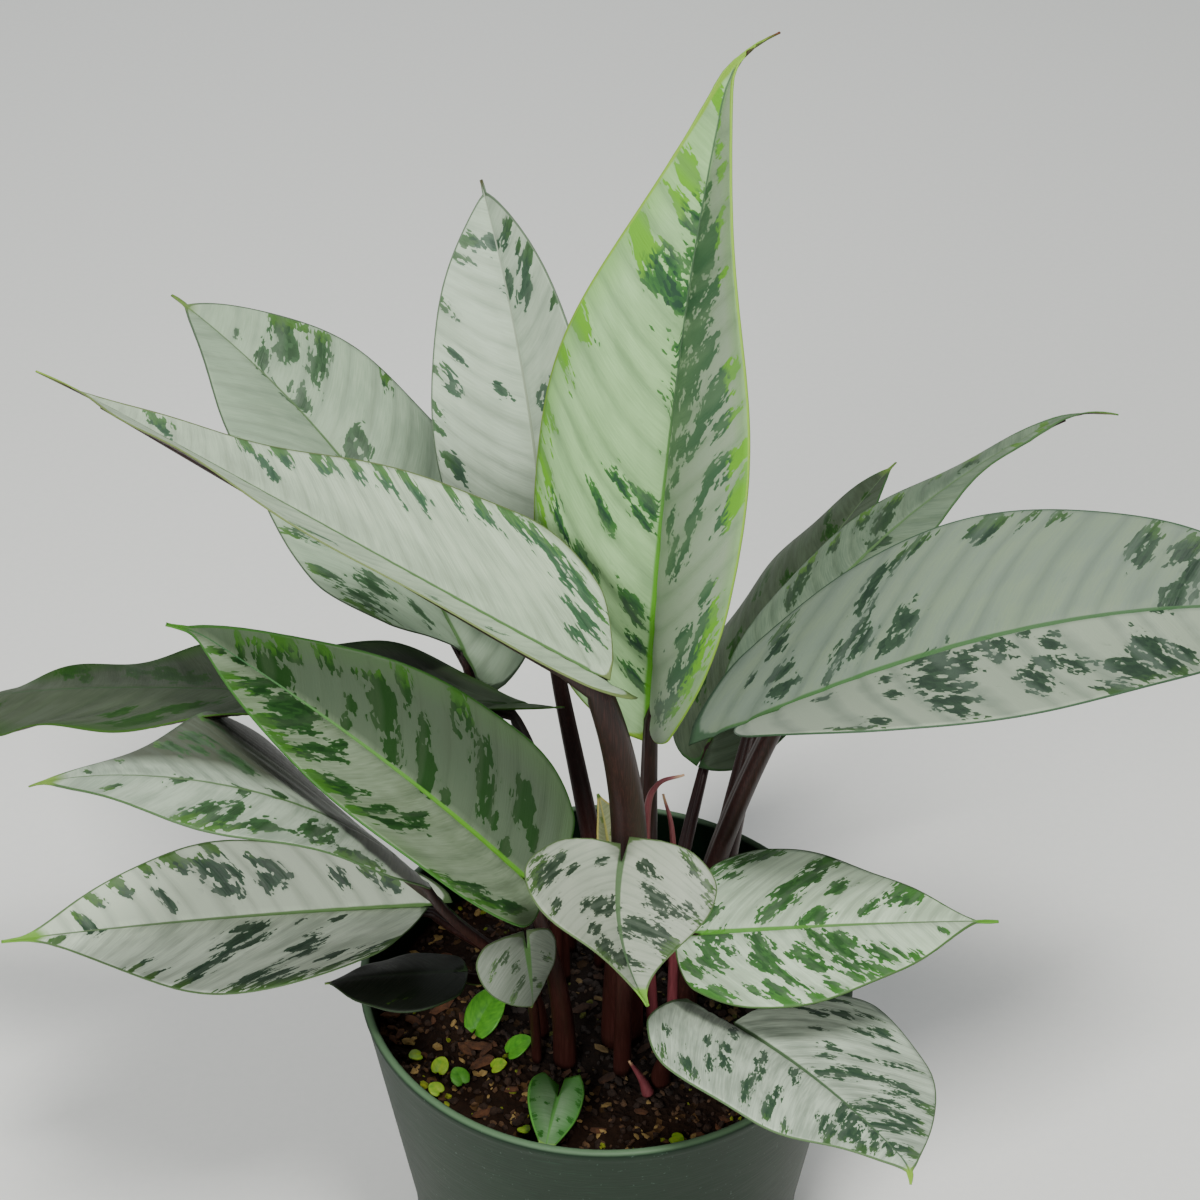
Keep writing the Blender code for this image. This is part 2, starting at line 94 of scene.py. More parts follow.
# Most of these values, for all but the folded leaf, came out of a fitting program and weren't
# chosen by hand. The stalks' feet and radii, drip and hook were not fitted.
leafShapes = {
    "tall": dict(
        node="tall", at=(13, 5, 227), length=213, width=109, azimuth=51, rise=88,
        droop=14, swing=-11, roll=18, twist=-32, fold=38, unfold=-2,
        cup=0.29, lobe=0.04, heel=0.4, tip=1.5, skew=0.22, drift=0.17, lean=-0.7,
        drip=0.06, hook=(-75, -40),
        foot=(12, 2), sheath=5, neck=2.4,
    ),
    "upright": dict(
        node="upright", at=(-19, 55, 237), length=131, width=56, azimuth=116, rise=87,
        droop=60, swing=-11, roll=39, twist=-5, fold=26, unfold=-6,
        cup=0.06, widest=0.34, tip=0.9, skew=-0.05, drift=0.04, lean=0.1,
        foot=(0, 18), sheath=3.5,
    ),
    "leftArch": dict(
        node="left_arch", at=(-5, -38, 274), length=183, width=64, azimuth=165, rise=24,
        droop=23, swing=-25, roll=-15, twist=-18, fold=4, unfold=-7,
        cup=-0.17, lobe=0.06, heel=0.4, widest=0.2, tip=1.1, skew=0.09, drift=-0.4,
        lean=-0.4, drip=0.08, hook=(25, 20),
        foot=(5, -15), sheath=6, neck=3.4,
    ),
    "leftBack": dict(
        node="left_back", at=(-46, 58, 208), length=154, width=99, azimuth=123, rise=36,
        droop=9, swing=31, roll=-22, twist=32, fold=38, unfold=18,
        cup=0.34, lobe=0.06, heel=0.44, widest=0.2, tip=0.9, skew=-0.09, drift=0.17,
        lean=0.9,
        foot=(-13, 25), sheath=3,
    ),
    "rightBig": dict(
        node="right_big", at=(54, 14, 220), length=187, width=105, azimuth=-5, rise=31,
        droop=55, swing=17, roll=13, twist=-45, fold=19, unfold=5,
        lobe=0.13, heel=0.4, widest=0.2, tip=1.5, skew=0.09, drift=-0.18, lean=-0.4,
        foot=(25, -2), sheath=5, neck=3.4,
    ),
    "rightNear": dict(
        node="right_near", at=(36, 78, 156), length=117, width=74, azimuth=50, rise=44,
        droop=24, swing=-4, roll=23, twist=15, fold=10, unfold=1,
        cup=0.34, widest=0.33, tip=1, skew=-0.11, drift=-0.14, drip=0.04,
        foot=(20, 18), sheath=3,
    ),
    "rightFar": dict(
        node="right_far", at=(52, 54, 202), length=157, width=41, azimuth=57, rise=21,
        droop=1, swing=-45, roll=17, twist=5, fold=6, unfold=15,
        cup=0.12, widest=0.2, tip=1.8, skew=-0.3, drift=-0.39, lean=-0.1, drip=0.08,
        hook=(-10, -30),
        foot=(33, 11), sheath=6, neck=2.6,
    ),
    "midLeft": dict(
        node="mid_left", at=(-24, -30, 190), length=135, width=60, azimuth=179, rise=51,
        droop=50, swing=-40, roll=24, twist=15, fold=28, unfold=-20,
        cup=-0.14, lobe=0.06, widest=0.22, drift=0.08, lean=0.1, drip=0.06, hook=(25, 0),
        foot=(-13, -25), sheath=3.5,
    ),
    "farLeft": dict(
        node="far_left", at=(-31, 17, 219), length=218, width=78, azimuth=181, rise=4,
        droop=40, swing=-36, roll=-32, twist=37, fold=-5, unfold=9,
        cup=-0.19, lobe=0.06, heel=0.26, widest=0.2, tip=1.1, skew=-0.05, drift=-0.4,
        lean=-0.4,
        foot=(-15, 10), sheath=3.5,
    ),
    "leftMid": dict(
        node="left_mid", at=(-54, -36, 196), length=131, width=94, azimuth=210, rise=60,
        droop=88, swing=-44, roll=-10, twist=-5, fold=-5, unfold=2,
        lobe=0.15, heel=0.4, widest=0.26, tip=1.3, skew=0.40, drift=-0.26, lean=0.9,
        foot=(-21, -12), sheath=3,
    ),
    "leftLow": dict(
        node="left_low", at=(-58, 4, 147), length=138, width=69, azimuth=-184, rise=-7,
        droop=1, swing=6, roll=15, twist=14, fold=37, unfold=12,
        lobe=0.04, heel=0.4, tip=1.5, skew=-0.2, drift=0.4, lean=0.7,
        foot=(-23, 2), sheath=3,
    ),
    "front": dict(
        node="front", at=(4, -50, 215), length=48, width=56, azimuth=-100, rise=-17,
        droop=-8, swing=37, roll=4, twist=27, fold=19, unfold=-10,
        cup=0.13, lobe=0.14, heel=0.4, widest=0.23, tip=1.7, skew=0.07, drift=0.12,
        lean=-0.2,
        foot=(5, -29), sheath=2.5,
    ),
    "rightMid": dict(
        node="right_mid", at=(28, -30, 168), length=89, width=63, azimuth=-9, rise=13,
        droop=14, swing=10, roll=-7, twist=14, fold=8, unfold=8,
        cup=0.12, lobe=0.07, widest=0.2, tip=1.1, drift=0.09, lean=0.2, drip=0.09,
        foot=(27, -22), sheath=3,
    ),
    "rightLow": dict(
        node="right_low", at=(38, -50, 150), length=82, width=82, azimuth=-45, rise=7,
        droop=3, swing=-18, roll=18, twist=-3, fold=13, unfold=20,
        cup=0.08, lobe=0.12, heel=0.4, widest=0.2, tip=1.1, skew=-0.08, drift=-0.09,
        lean=0.9, drip=0.06, hook=(-30, -15),
        foot=(17, -33), sheath=3,
    ),
    "potSmall": dict(
        node="pot_small", at=(-23, -50, 181), length=21, width=26, azimuth=-77, rise=-64,
        droop=33, swing=14, roll=19, twist=10, fold=-5, unfold=-4,
        cup=0.19, lobe=0.25, heel=0.55, widest=0.2, tip=1.1, skew=0.08, drift=-0.09,
        foot=(-22, -24), sheath=1.6,
    ),
    "baby": dict(
        node="baby", at=(-15, -44, 112), length=27, width=20, azimuth=-100, rise=8,
        droop=5, swing=4, roll=8, twist=5, fold=38, unfold=1,
        lobe=0.25, heel=0.55, widest=0.23, tip=1.1, skew=0.04, drift=-0.06, lean=-0.3,
        foot=(-13, -40), sheath=1.2,
    ),
    "rim": dict(
        node="rim", at=(-47, -20, 142), length=42, width=31, azimuth=185, rise=1,
        droop=24, swing=-15, roll=-13, twist=1, fold=-1, unfold=4,
        cup=0.12, widest=0.25, tip=1.1, skew=-0.06,
        foot=(-32, 6), sheath=1.6,
    ),
    "folded": dict(
        node="folded", at=(1, 5, 163), length=26, width=17, azimuth=125, rise=84,
        droop=18, swing=0, roll=-10, twist=0, fold=30, unfold=0,
        foot=(2, 3), sheath=1.6,
    ),
}

bladeBuild = dict(
    smallLength=60,  # mm; blades up to this have the small counts of cells
    alongSteps=150,  # cells from heel to tip
    acrossSteps=48,  # cells from edge to edge
    smallAlong=56,
    smallAcross=28,
    fullLength=90,  # mm; shorter blades have less relief
    thickness=0.5,  # mm
    veinSweep=0.85,  # how far a side vein runs forward for its reach
    quilting=0.075,  # swelling between side veins, as a share of their gap
    grooveDepth=0.7,  # mm
    grooveWidth=1.1,  # mm
)

# What a blade looks like unless its own entry says otherwise.
plainLook = dict(
    ground="#A4ADA0",  # the silver skin
    shade="#8F998C",  # where the silver is thinner
    paintedLightHalfGround=None,  # silver of the right half: painted light where it is paler, painted shade where it is darker
    paintedLightHalfReach=(-0.05, 0.25),  # cm from the midrib over which that half's painted silver takes over
    blotch="#456A46",
    paintedShadeHalfBlotch=None,  # green of the right half, darkened as painted shade
    deep="#34543A",
    rib="#4A7038",  # midrib at the heel
    ribEnd="#5A6E50",  # midrib towards the tip
    ribWidth=0.11,  # cm each way at the heel
    ribThin=0.03,  # cm each way where it has thinned out
    ribRun=0.8,  # share of the length where it has
    margin="#4E6A4A",
    marginWidth=0.4,  # mm
    glow=0.15,  # how far the greens turn yellow at the margin
    glowColour="#6FA52C",
    glowReach=0.7,  # cm from the margin
    halo=0.18,  # how green the silver round a blot is
    tipColour="#5E7A3A",
    tipStart=0.93,  # share of the length
    spread=0.0,  # more green strewn between the blots
    grain=1.0,  # finer patches above 1
    veinGap=0.065,  # share of the length between side veins
    veinLineShade=0.06,  # how dark the line in a crease is: the vein's own colour with painted shade
    foldShadeTone=0.24,  # how grey the fold beside it is: painted shade
    # colour of that painted shade in the fold
    foldShadeColour="#6E7A6C",
    shine=0.22,  # specular level
    edgeTint=0.0,  # how yellow the silver turns at the margin
    heelPlain=-0.1,  # share of the length at the heel that has no yellow
    sweep=(1.0, 1.0),  # how far forward the left and right side veins run
    thread=0.6,  # mm each way that the drip tip keeps
    heelRound=0.06,  # share of the length over which the heel rounds out
    wave=1.0,  # mm that the margin rises and falls
    waves=2.6,  # how often it does
    wavePhase=None,  # where the first wave starts, in turns
)

# Each blade's own colours, and its green blots as (share along, side from -1 to 1, reach in mm).
leafLooks = {
    # tall: the yellow-green silver and margin glow of its left half are painted light coming through the
    # young blade; its greyer right half lacks it
    "tall": dict(
        ground="#9FC68C", shade="#8FB57E", paintedLightHalfGround="#8D9E85", blotch="#45793A", deep="#2C4836",
        rib="#5AA01E", ribEnd="#4C664C", ribWidth=0.22, margin="#7FA83C", marginWidth=0.55, glow=1.0,
        glowColour="#64A02C", tipColour="#5A3626", tipStart=0.965, wave=0.8, sweep=(1.5, 1.0),
        thread=0.45, ribThin=0.035, ribRun=0.5, edgeTint=0.45, foldShadeColour="#6E8A66",
        paintedShadeHalfBlotch="#3B5C40", foldShadeTone=0.3, glowReach=1.15, grain=1.0, spread=0.045, heelPlain=0.04,
        blots=[
            (0.05, -0.2, 5), (0.1, -0.13, 5), (0.155, -0.16, 6), (0.14, -0.62, 8), (0.21, -0.52, 6),
            (0.285, -0.36, 5), (0.3, -0.12, 5), (0.345, -0.3, 5), (0.33, -0.12, 5), (0.31, -0.43, 4),
            (0.25, -0.75, 6), (0.31, -0.93, 7), (0.24, -0.9, 6), (0.38, -0.98, 5), (0.46, -0.97, 6),
            (0.52, -0.95, 6), (0.665, -0.8, 7), (0.65, -0.6, 7), (0.635, -0.38, 7), (0.62, -0.12, 5),
            (0.665, -0.34, 4), (0.72, -0.24, 6), (0.735, -0.45, 6), (0.73, -0.1, 4), (0.78, -0.78, 6),
            (0.77, -0.52, 8), (0.88, -0.7, 6), (0.875, -0.4, 6), (0.87, -0.12, 4), (0.3, 0.34, 6),
            (0.31, 0.48, 6), (0.37, 0.55, 5), (0.4, 0.62, 4), (0.45, 0.3, 7), (0.46, 0.44, 6),
            (0.4, 0.24, 5), (0.34, 0.25, 5), (0.44, 0.72, 7), (0.41, 0.93, 8), (0.46, 0.92, 6),
            (0.5, 0.28, 7), (0.55, 0.34, 9), (0.6, 0.28, 9), (0.65, 0.3, 9), (0.7, 0.32, 9),
            (0.58, 0.55, 7), (0.64, 0.52, 7), (0.66, 0.68, 6), (0.7, 0.52, 7), (0.73, 0.66, 6),
            (0.52, 0.62, 8), (0.54, 0.76, 7), (0.5, 0.8, 6), (0.58, 0.16, 6), (0.66, 0.14, 6),
            (0.74, 0.2, 6), (0.1, 0.78, 8), (0.15, 0.84, 8), (0.2, 0.86, 8), (0.25, 0.87, 8),
            (0.29, 0.8, 5), (0.21, 0.68, 6), (0.15, 0.7, 6), (0.79, 0.62, 6), (0.82, 0.34, 6),
            (0.07, 0.62, 6), (0.42, 0.12, 7), (0.47, 0.1, 7), (0.52, 0.1, 8), (0.57, 0.09, 8),
            (0.62, 0.09, 8), (0.67, 0.09, 7), (0.72, 0.12, 7), (0.77, 0.14, 6), (0.36, 0.1, 5),
            (0.48, 0.52, 6), (0.6, 0.42, 8), (0.68, 0.42, 8),
        ],
    ),
    "upright": dict(
        ground="#ADBEA8", shade="#9EAF99", blotch="#46604B", deep="#324839", margin="#5C6E58", wave=0.7,
        glow=0.1, thread=0.7, ribWidth=0.07, rib="#7C8A70", ribEnd="#8A9684", tipColour="#4A4A30",
        tipStart=0.965, foldShadeTone=0.2,
        blots=[
            (0.5, -0.86, 5), (0.51, -0.96, 5), (0.555, -0.75, 4), (0.49, -0.28, 4), (0.78, -0.86, 5),
            (0.83, -0.72, 5), (0.83, -0.13, 5), (0.43, -0.98, 4), (0.39, -0.98, 4), (0.69, 0.35, 4),
            (0.68, 0.5, 4), (0.73, 0.1, 4), (0.73, 0.65, 6), (0.74, 0.8, 5), (0.82, 0.55, 7),
            (0.83, 0.7, 6), (0.77, 0.7, 3), (0.62, 0.97, 4), (0.66, -0.97, 4), (0.2, 0.5, 5),
            (0.3, -0.8, 5), (0.46, 0.32, 5),
        ],
    ),
    "leftArch": dict(
        ground="#B0C1A7", shade="#9DAD95", blotch="#446548", deep="#324F39", margin="#6A7A4A", glow=0.2,
        tipColour="#7FA03A", tipStart=0.9, veinGap=0.037, wave=0.9, sweep=(1.0, 1.4), thread=1.0,
        foldShadeTone=0.16, spread=0.01,
        blots=[
            (0.04, 0.4, 5), (0.05, 0.6, 7), (0.07, 0.8, 7), (0.1, 0.88, 6), (0.15, 0.9, 6),
            (0.2, 0.93, 6), (0.25, 0.93, 5), (0.3, 0.95, 5), (0.36, 0.9, 6), (0.4, 0.91, 6),
            (0.45, 0.95, 6), (0.5, 0.93, 6), (0.56, 0.93, 6), (0.62, 0.9, 6), (0.57, 0.45, 4),
            (0.59, 0.62, 4), (0.77, 0.6, 7), (0.79, 0.8, 7), (0.76, 0.38, 5), (0.15, -0.52, 3),
            (0.24, -0.62, 3), (0.4, -0.8, 5),
        ],
    ),
    "leftBack": dict(
        ground="#95AA8F", shade="#879C82", blotch="#3F5D3E", deep="#2D462D", margin="#4C5E48", glow=0.2,
        wave=1.2,
        blots=[
            (0.12, -0.85, 8), (0.15, -0.7, 6), (0.17, -0.62, 6), (0.1, -0.95, 6), (0.2, -0.9, 5),
            (0.3, -0.9, 6), (0.42, -0.92, 6), (0.08, -0.5, 6), (0.22, -0.35, 5), (0.48, 0.1, 7),
            (0.49, 0.26, 5), (0.64, 0.09, 6), (0.76, 0.1, 6), (0.77, 0.26, 5), (0.66, 0.55, 8),
            (0.67, 0.75, 8), (0.645, 0.4, 4), (0.72, 0.5, 5), (0.75, 0.65, 9), (0.77, 0.82, 9),
            (0.75, 0.92, 6), (0.84, 0.3, 4), (0.53, 0.95, 5), (0.55, -0.95, 4), (0.25, 0.6, 6),
        ],
    ),
    # rightBig: its paler right half is painted light
    "rightBig": dict(
        ground="#72826C", shade="#6D7C6D", blotch="#314733", deep="#233528", rib="#3C6434",
        ribEnd="#3C5A3C", margin="#3E5840", glow=0.1, wave=1.3, sweep=(1.2, 0.35), ribWidth=0.16,
        ribThin=0.04, paintedLightHalfGround="#909C88", foldShadeColour="#5E6C60", foldShadeTone=0.42,
        blots=[
            (0.03, -0.35, 5), (0.05, -0.55, 5), (0.08, -0.8, 6), (0.1, -0.92, 6), (0.04, -0.75, 4),
            (0.09, -0.15, 4), (0.11, -0.25, 5), (0.13, -0.36, 5), (0.155, -0.3, 7), (0.165, -0.46, 6),
            (0.2, -0.2, 5), (0.225, -0.31, 5), (0.235, -0.43, 4), (0.19, -0.65, 6), (0.21, -0.78, 7),
            (0.24, -0.86, 6), (0.27, -0.93, 5), (0.36, -0.86, 6), (0.35, -0.93, 5), (0.41, -0.93, 4),
            (0.45, -0.96, 4), (0.585, -0.78, 8), (0.59, -0.6, 5), (0.65, -0.78, 6), (0.67, -0.5, 7),
            (0.65, -0.16, 8), (0.64, -0.06, 5), (0.085, 0.25, 5), (0.185, 0.2, 5), (0.2, 0.48, 5),
            (0.25, 0.08, 8), (0.26, 0.25, 8), (0.25, 0.4, 8), (0.27, 0.52, 8), (0.265, 0.7, 8),
            (0.27, 0.86, 6), (0.3, 0.2, 7), (0.29, 0.34, 7), (0.33, 0.1, 5), (0.36, 0.12, 7),
            (0.35, 0.26, 6), (0.4, 0.06, 4), (0.43, 0.26, 5), (0.44, 0.15, 3), (0.4, 0.45, 7),
            (0.38, 0.6, 8), (0.375, 0.72, 7), (0.44, 0.55, 7), (0.19, 0.86, 6), (0.17, 0.95, 5),
            (0.56, 0.5, 9), (0.54, 0.66, 9), (0.5, 0.7, 7), (0.55, 0.86, 9), (0.5, 0.86, 7),
            (0.45, 0.95, 7), (0.59, 0.74, 8), (0.74, 0.4, 8), (0.78, -0.42, 7), (0.83, 0.55, 6),
            (0.88, -0.2, 5),
        ],
    ),
    # rightNear: its dark silver and greens are painted shade, a silver leaf in the others' shadow
    "rightNear": dict(
        ground="#4A5744", shade="#3E4938", blotch="#234418", deep="#1A3612", margin="#355430", glow=0.2,
        wave=1.0, foldShadeColour="#38442F", shine=0.06,
        blots=[
            (0.27, -0.3, 7), (0.46, -0.66, 7), (0.75, -0.6, 6), (0.5, -0.14, 8), (0.7, -0.1, 7),
            (0.62, 0.22, 7), (0.45, 0.1, 7), (0.63, 0.44, 6), (0.5, 0.34, 5), (0.35, 0.42, 5),
            (0.73, 0.85, 6), (0.2, 0.5, 5), (0.14, -0.6, 6), (0.84, 0.1, 5),
        ],
    ),
    "rightFar": dict(
        ground="#6B7E65", shade="#586B56", blotch="#2C4627", deep="#223B22", margin="#3E5E36", glow=0.3,
        tipColour="#4E7A34", tipStart=0.9, wave=1.2, thread=1.0, foldShadeColour="#4C5A48",
        blots=[
            (0.2, -0.6, 7), (0.26, -0.8, 6), (0.33, -0.75, 5), (0.4, -0.82, 6), (0.47, -0.7, 6),
            (0.43, -0.35, 7), (0.38, 0.05, 6), (0.56, -0.8, 4), (0.65, -0.7, 8), (0.3, 0.2, 5),
            (0.82, 0.1, 6), (0.74, 0.6, 5), (0.12, 0.4, 6),
        ],
    ),
    # midLeft: its darker right half, silver and greens, is painted shade
    "midLeft": dict(
        ground="#83937A", shade="#6E7E64", blotch="#2B5025", deep="#1C391B", rib="#5C9A28",
        ribEnd="#48704A", margin="#3C6A2C", glow=0.35, glowColour="#56922A", tipColour="#4C8030",
        wave=1.4, edgeTint=0.15, paintedLightHalfGround="#556450", foldShadeColour="#55634E", thread=1.0,
        paintedShadeHalfBlotch="#22421C",
        blots=[
            (0.07, -0.75, 6), (0.12, -0.86, 6), (0.14, -0.7, 4), (0.19, -0.9, 6), (0.22, -0.96, 6),
            (0.3, -0.36, 5), (0.31, -0.55, 6), (0.33, -0.7, 6), (0.38, -0.86, 6), (0.36, -0.6, 4),
            (0.44, -0.85, 8), (0.46, -0.95, 7), (0.5, -0.55, 5), (0.535, -0.8, 6), (0.52, -0.5, 6),
            (0.515, -0.3, 4), (0.56, -0.95, 5), (0.6, -0.62, 8), (0.62, -0.32, 8), (0.63, -0.16, 5),
            (0.605, -0.8, 7), (0.67, -0.25, 6), (0.7, -0.5, 6), (0.72, -0.34, 8), (0.73, -0.6, 8),
            (0.75, -0.8, 7), (0.72, -0.92, 5), (0.8, -0.15, 5), (0.84, -0.6, 6), (0.09, 0.12, 3),
            (0.15, 0.25, 3), (0.12, 0.5, 6), (0.07, 0.45, 4), (0.19, 0.3, 6), (0.22, 0.42, 7),
            (0.25, 0.56, 7), (0.16, 0.65, 4), (0.27, 0.08, 3), (0.33, 0.15, 6), (0.36, 0.3, 6),
            (0.38, 0.45, 5), (0.4, 0.1, 4), (0.43, 0.2, 6), (0.46, 0.4, 7), (0.48, 0.56, 7),
            (0.49, 0.68, 5), (0.53, 0.1, 3), (0.54, 0.36, 3), (0.72, 0.06, 5), (0.71, 0.25, 8),
            (0.74, 0.4, 8), (0.72, 0.6, 5), (0.8, 0.45, 6), (0.8, 0.66, 6), (0.33, 0.82, 6),
            (0.45, 0.84, 6), (0.6, 0.8, 6), (0.68, 0.82, 6),
        ],
    ),
    # farLeft: its dark silver and greens are painted shade, a silver leaf in the canopy's shadow
    "farLeft": dict(
        ground="#4C5645", shade="#424C3B", blotch="#264A18", deep="#1F3F15", rib="#34502C",
        ribEnd="#3C5038", margin="#3A5A24", glow=0.3, glowColour="#2C5218", tipColour="#3C5A30",
        wave=2.0, waves=4.0, foldShadeColour="#3C4636", edgeTint=0.75, wavePhase=0.05, shine=0.06,
        blots=[
            (0.36, -0.92, 7), (0.45, -0.72, 9), (0.42, -0.4, 7), (0.51, -0.55, 6), (0.6, -0.95, 6),
            (0.47, 0.3, 9), (0.52, 0.5, 9), (0.57, 0.68, 9), (0.4, 0.2, 6), (0.67, 0.82, 8),
            (0.65, 0.5, 5), (0.3, 0.4, 7), (0.2, -0.3, 7), (0.78, -0.5, 6), (0.86, 0.2, 6),
        ],
    ),
    # leftMid: from 7 mm off the midrib its right half is darkened by painted shadow, the shadow that
    # midLeft casts on it
    "leftMid": dict(
        ground="#A7B6A1", shade="#8F9F8B", blotch="#3A5C36", deep="#2A4527", margin="#4A6640", glow=0.2,
        tipColour="#6A8A3C", tipStart=0.9, wave=1.2, paintedLightHalfGround="#4E5546", paintedLightHalfReach=(0.7, 1.7),
        blots=[
            (0.25, -0.9, 7), (0.29, -0.85, 7), (0.36, -0.5, 8), (0.33, -0.35, 5), (0.345, -0.66, 6),
            (0.47, -0.7, 5), (0.49, -0.76, 6), (0.53, -0.5, 6), (0.54, -0.8, 8), (0.57, -0.65, 7),
            (0.59, -0.8, 6), (0.77, -0.6, 4), (0.51, 0.38, 8), (0.6, 0.55, 4), (0.555, 0.66, 4),
            (0.59, 0.72, 6), (0.66, 0.7, 7), (0.68, 0.78, 6), (0.53, 0.95, 5), (0.45, 0.86, 5),
            (0.79, 0.75, 4), (0.44, 0.04, 4), (0.52, -0.06, 4), (0.66, -0.05, 4), (0.15, 0.5, 8),
            (0.2, 0.1, 6), (0.86, 0.4, 4),
        ],
    ),
    # leftLow: the very pale silver of its left half is painted light
    "leftLow": dict(
        ground="#DBE9D3", shade="#B8C6B2", blotch="#34523B", deep="#243D2B", rib="#4E7A34",
        ribEnd="#5A7050", margin="#567048", glow=0.25, tipColour="#6A9A3A", tipStart=0.88, wave=1.0,
        thread=0.8, paintedLightHalfGround="#BCC9B4",
        blots=[
            (0.05, -0.86, 7), (0.1, -0.92, 6), (0.15, -0.95, 6), (0.2, -0.95, 5), (0.24, -0.95, 7),
            (0.28, -0.88, 8), (0.31, -0.8, 8), (0.22, -0.56, 6), (0.23, -0.45, 6), (0.235, -0.3, 3),
            (0.28, -0.12, 3), (0.19, -0.13, 3), (0.33, -0.95, 6), (0.46, -0.9, 7), (0.45, -0.76, 6),
            (0.43, -0.62, 6), (0.42, -0.5, 5), (0.37, -0.36, 7), (0.4, -0.3, 8), (0.39, -0.16, 6),
            (0.55, -0.96, 5), (0.6, -0.96, 6), (0.85, -0.6, 5), (0.09, 0.55, 4), (0.1, 0.66, 4),
            (0.19, 0.55, 5), (0.33, 0.56, 5), (0.35, 0.5, 5), (0.36, 0.4, 4), (0.34, 0.66, 5),
            (0.42, 0.62, 4), (0.45, 0.45, 7), (0.455, 0.6, 8), (0.59, 0.3, 4), (0.6, 0.45, 4),
            (0.53, 0.86, 6), (0.67, 0.8, 5), (0.78, 0.08, 6), (0.79, 0.3, 7), (0.8, 0.5, 5),
            (0.44, 0.95, 5), (0.6, 0.95, 5), (0.74, 0.92, 5), (0.13, 0.82, 5), (0.16, -0.7, 5),
        ],
    ),
    "front": dict(
        ground="#9CA493", shade="#929C8A", blotch="#384637", deep="#2A382B", rib="#46603C",
        ribEnd="#4C6448", margin="#5A7048", grain=2.3, glow=0.15, tipColour="#6A9A38", tipStart=0.86,
        wave=0.8, halo=0.30, thread=1.1,
        blots=[
            (0.06, -0.9, 3.3), (0.12, -0.85, 3.3), (0.2, -0.9, 3.3), (0.3, -0.95, 3.3),
            (0.35, -0.8, 3.3), (0.42, -0.95, 3.3), (0.09, -0.38, 3.3), (0.08, -0.28, 2.5),
            (0.27, -0.46, 4.1), (0.3, -0.38, 4.1), (0.21, -0.3, 3.3), (0.37, -0.65, 3.3),
            (0.4, -0.5, 2.5), (0.46, -0.28, 4.1), (0.5, -0.4, 4.9), (0.51, -0.55, 4.9),
            (0.55, -0.66, 4.9), (0.59, -0.78, 4.9), (0.63, -0.9, 4.9), (0.58, -0.92, 4.1),
            (0.5, -0.1, 3.3), (0.45, -0.12, 2.5), (0.34, 0.1, 4.1), (0.345, 0.25, 4.1),
            (0.35, 0.4, 2.5), (0.5, 0.4, 3.3), (0.51, 0.52, 2.5), (0.17, 0.55, 3.3), (0.13, 0.75, 3.3),
            (0.2, 0.75, 4.1), (0.22, 0.86, 4.9), (0.26, 0.88, 4.1), (0.24, 0.72, 3.3),
            (0.29, 0.85, 2.5), (0.15, 0.95, 3.3), (0.66, 0.1, 4.9), (0.68, 0.25, 4.9), (0.69, 0.4, 4.9),
            (0.62, 0.45, 4.1), (0.66, 0.55, 4.9), (0.64, 0.7, 4.9), (0.67, 0.76, 4.1), (0.7, 0.9, 4.1),
            (0.72, -0.3, 4.1), (0.05, 0.3, 2.5), (0.4, 0.8, 3.3),
        ],
    ),
    "rightMid": dict(
        ground="#C0D4B8", shade="#A6BA9E", blotch="#406D36", deep="#30522C", rib="#4E8A2C",
        ribEnd="#5A7050", margin="#4A6A3A", grain=1.4, glow=0.35, glowColour="#4E8A34",
        tipColour="#5A9230", tipStart=0.9, wave=0.8, thread=0.9, edgeTint=0.10,
        blots=[
            (0.05, -0.9, 5), (0.1, -0.92, 5), (0.14, -0.86, 5), (0.19, -0.9, 5), (0.1, -0.7, 4),
            (0.37, -0.85, 5), (0.36, -0.7, 6), (0.34, -0.6, 6), (0.31, -0.5, 6), (0.29, -0.42, 6),
            (0.28, -0.31, 6), (0.25, -0.22, 5), (0.23, -0.14, 4), (0.38, -0.95, 4), (0.45, -0.55, 4),
            (0.44, -0.66, 3), (0.4, -0.13, 5), (0.37, -0.1, 4), (0.57, -0.36, 4), (0.56, -0.28, 4),
            (0.66, -0.95, 8), (0.7, -0.9, 8), (0.67, -0.76, 6), (0.04, 0.1, 5), (0.08, 0.05, 4),
            (0.05, 0.35, 5), (0.06, 0.55, 5), (0.1, 0.5, 3), (0.12, 0.3, 3), (0.04, 0.76, 5),
            (0.2, 0.15, 5), (0.22, 0.3, 6), (0.24, 0.42, 6), (0.26, 0.56, 6), (0.22, 0.5, 4),
            (0.2, 0.38, 3), (0.34, 0.3, 3), (0.36, 0.42, 5), (0.38, 0.56, 5), (0.39, 0.15, 6),
            (0.41, 0.25, 6), (0.44, 0.36, 7), (0.46, 0.25, 6), (0.47, 0.46, 6), (0.46, 0.6, 5),
            (0.49, 0.72, 4), (0.58, 0.55, 5), (0.59, 0.66, 5), (0.54, 0.76, 4), (0.52, 0.9, 5),
            (0.55, 0.85, 4), (0.48, 0.86, 4), (0.42, 0.91, 4), (0.2, 0.8, 3), (0.25, 0.76, 4),
            (0.3, 0.7, 4), (0.33, 0.8, 4), (0.13, 0.86, 4), (0.64, 0.76, 4), (0.67, 0.86, 4),
            (0.1, 0.95, 5), (0.28, 0.94, 5), (0.36, 0.95, 5), (0.03, -0.3, 5), (0.8, 0.6, 4),
        ],
    ),
    "rightLow": dict(
        ground="#BDCDB7", shade="#98A794", blotch="#425B42", deep="#314837", rib="#42603A",
        ribEnd="#4A6448", margin="#56704A", grain=2.0, glow=0.15, tipColour="#7AA238", tipStart=0.92,
        wave=0.9, thread=0.8, halo=0.25,
        blots=[
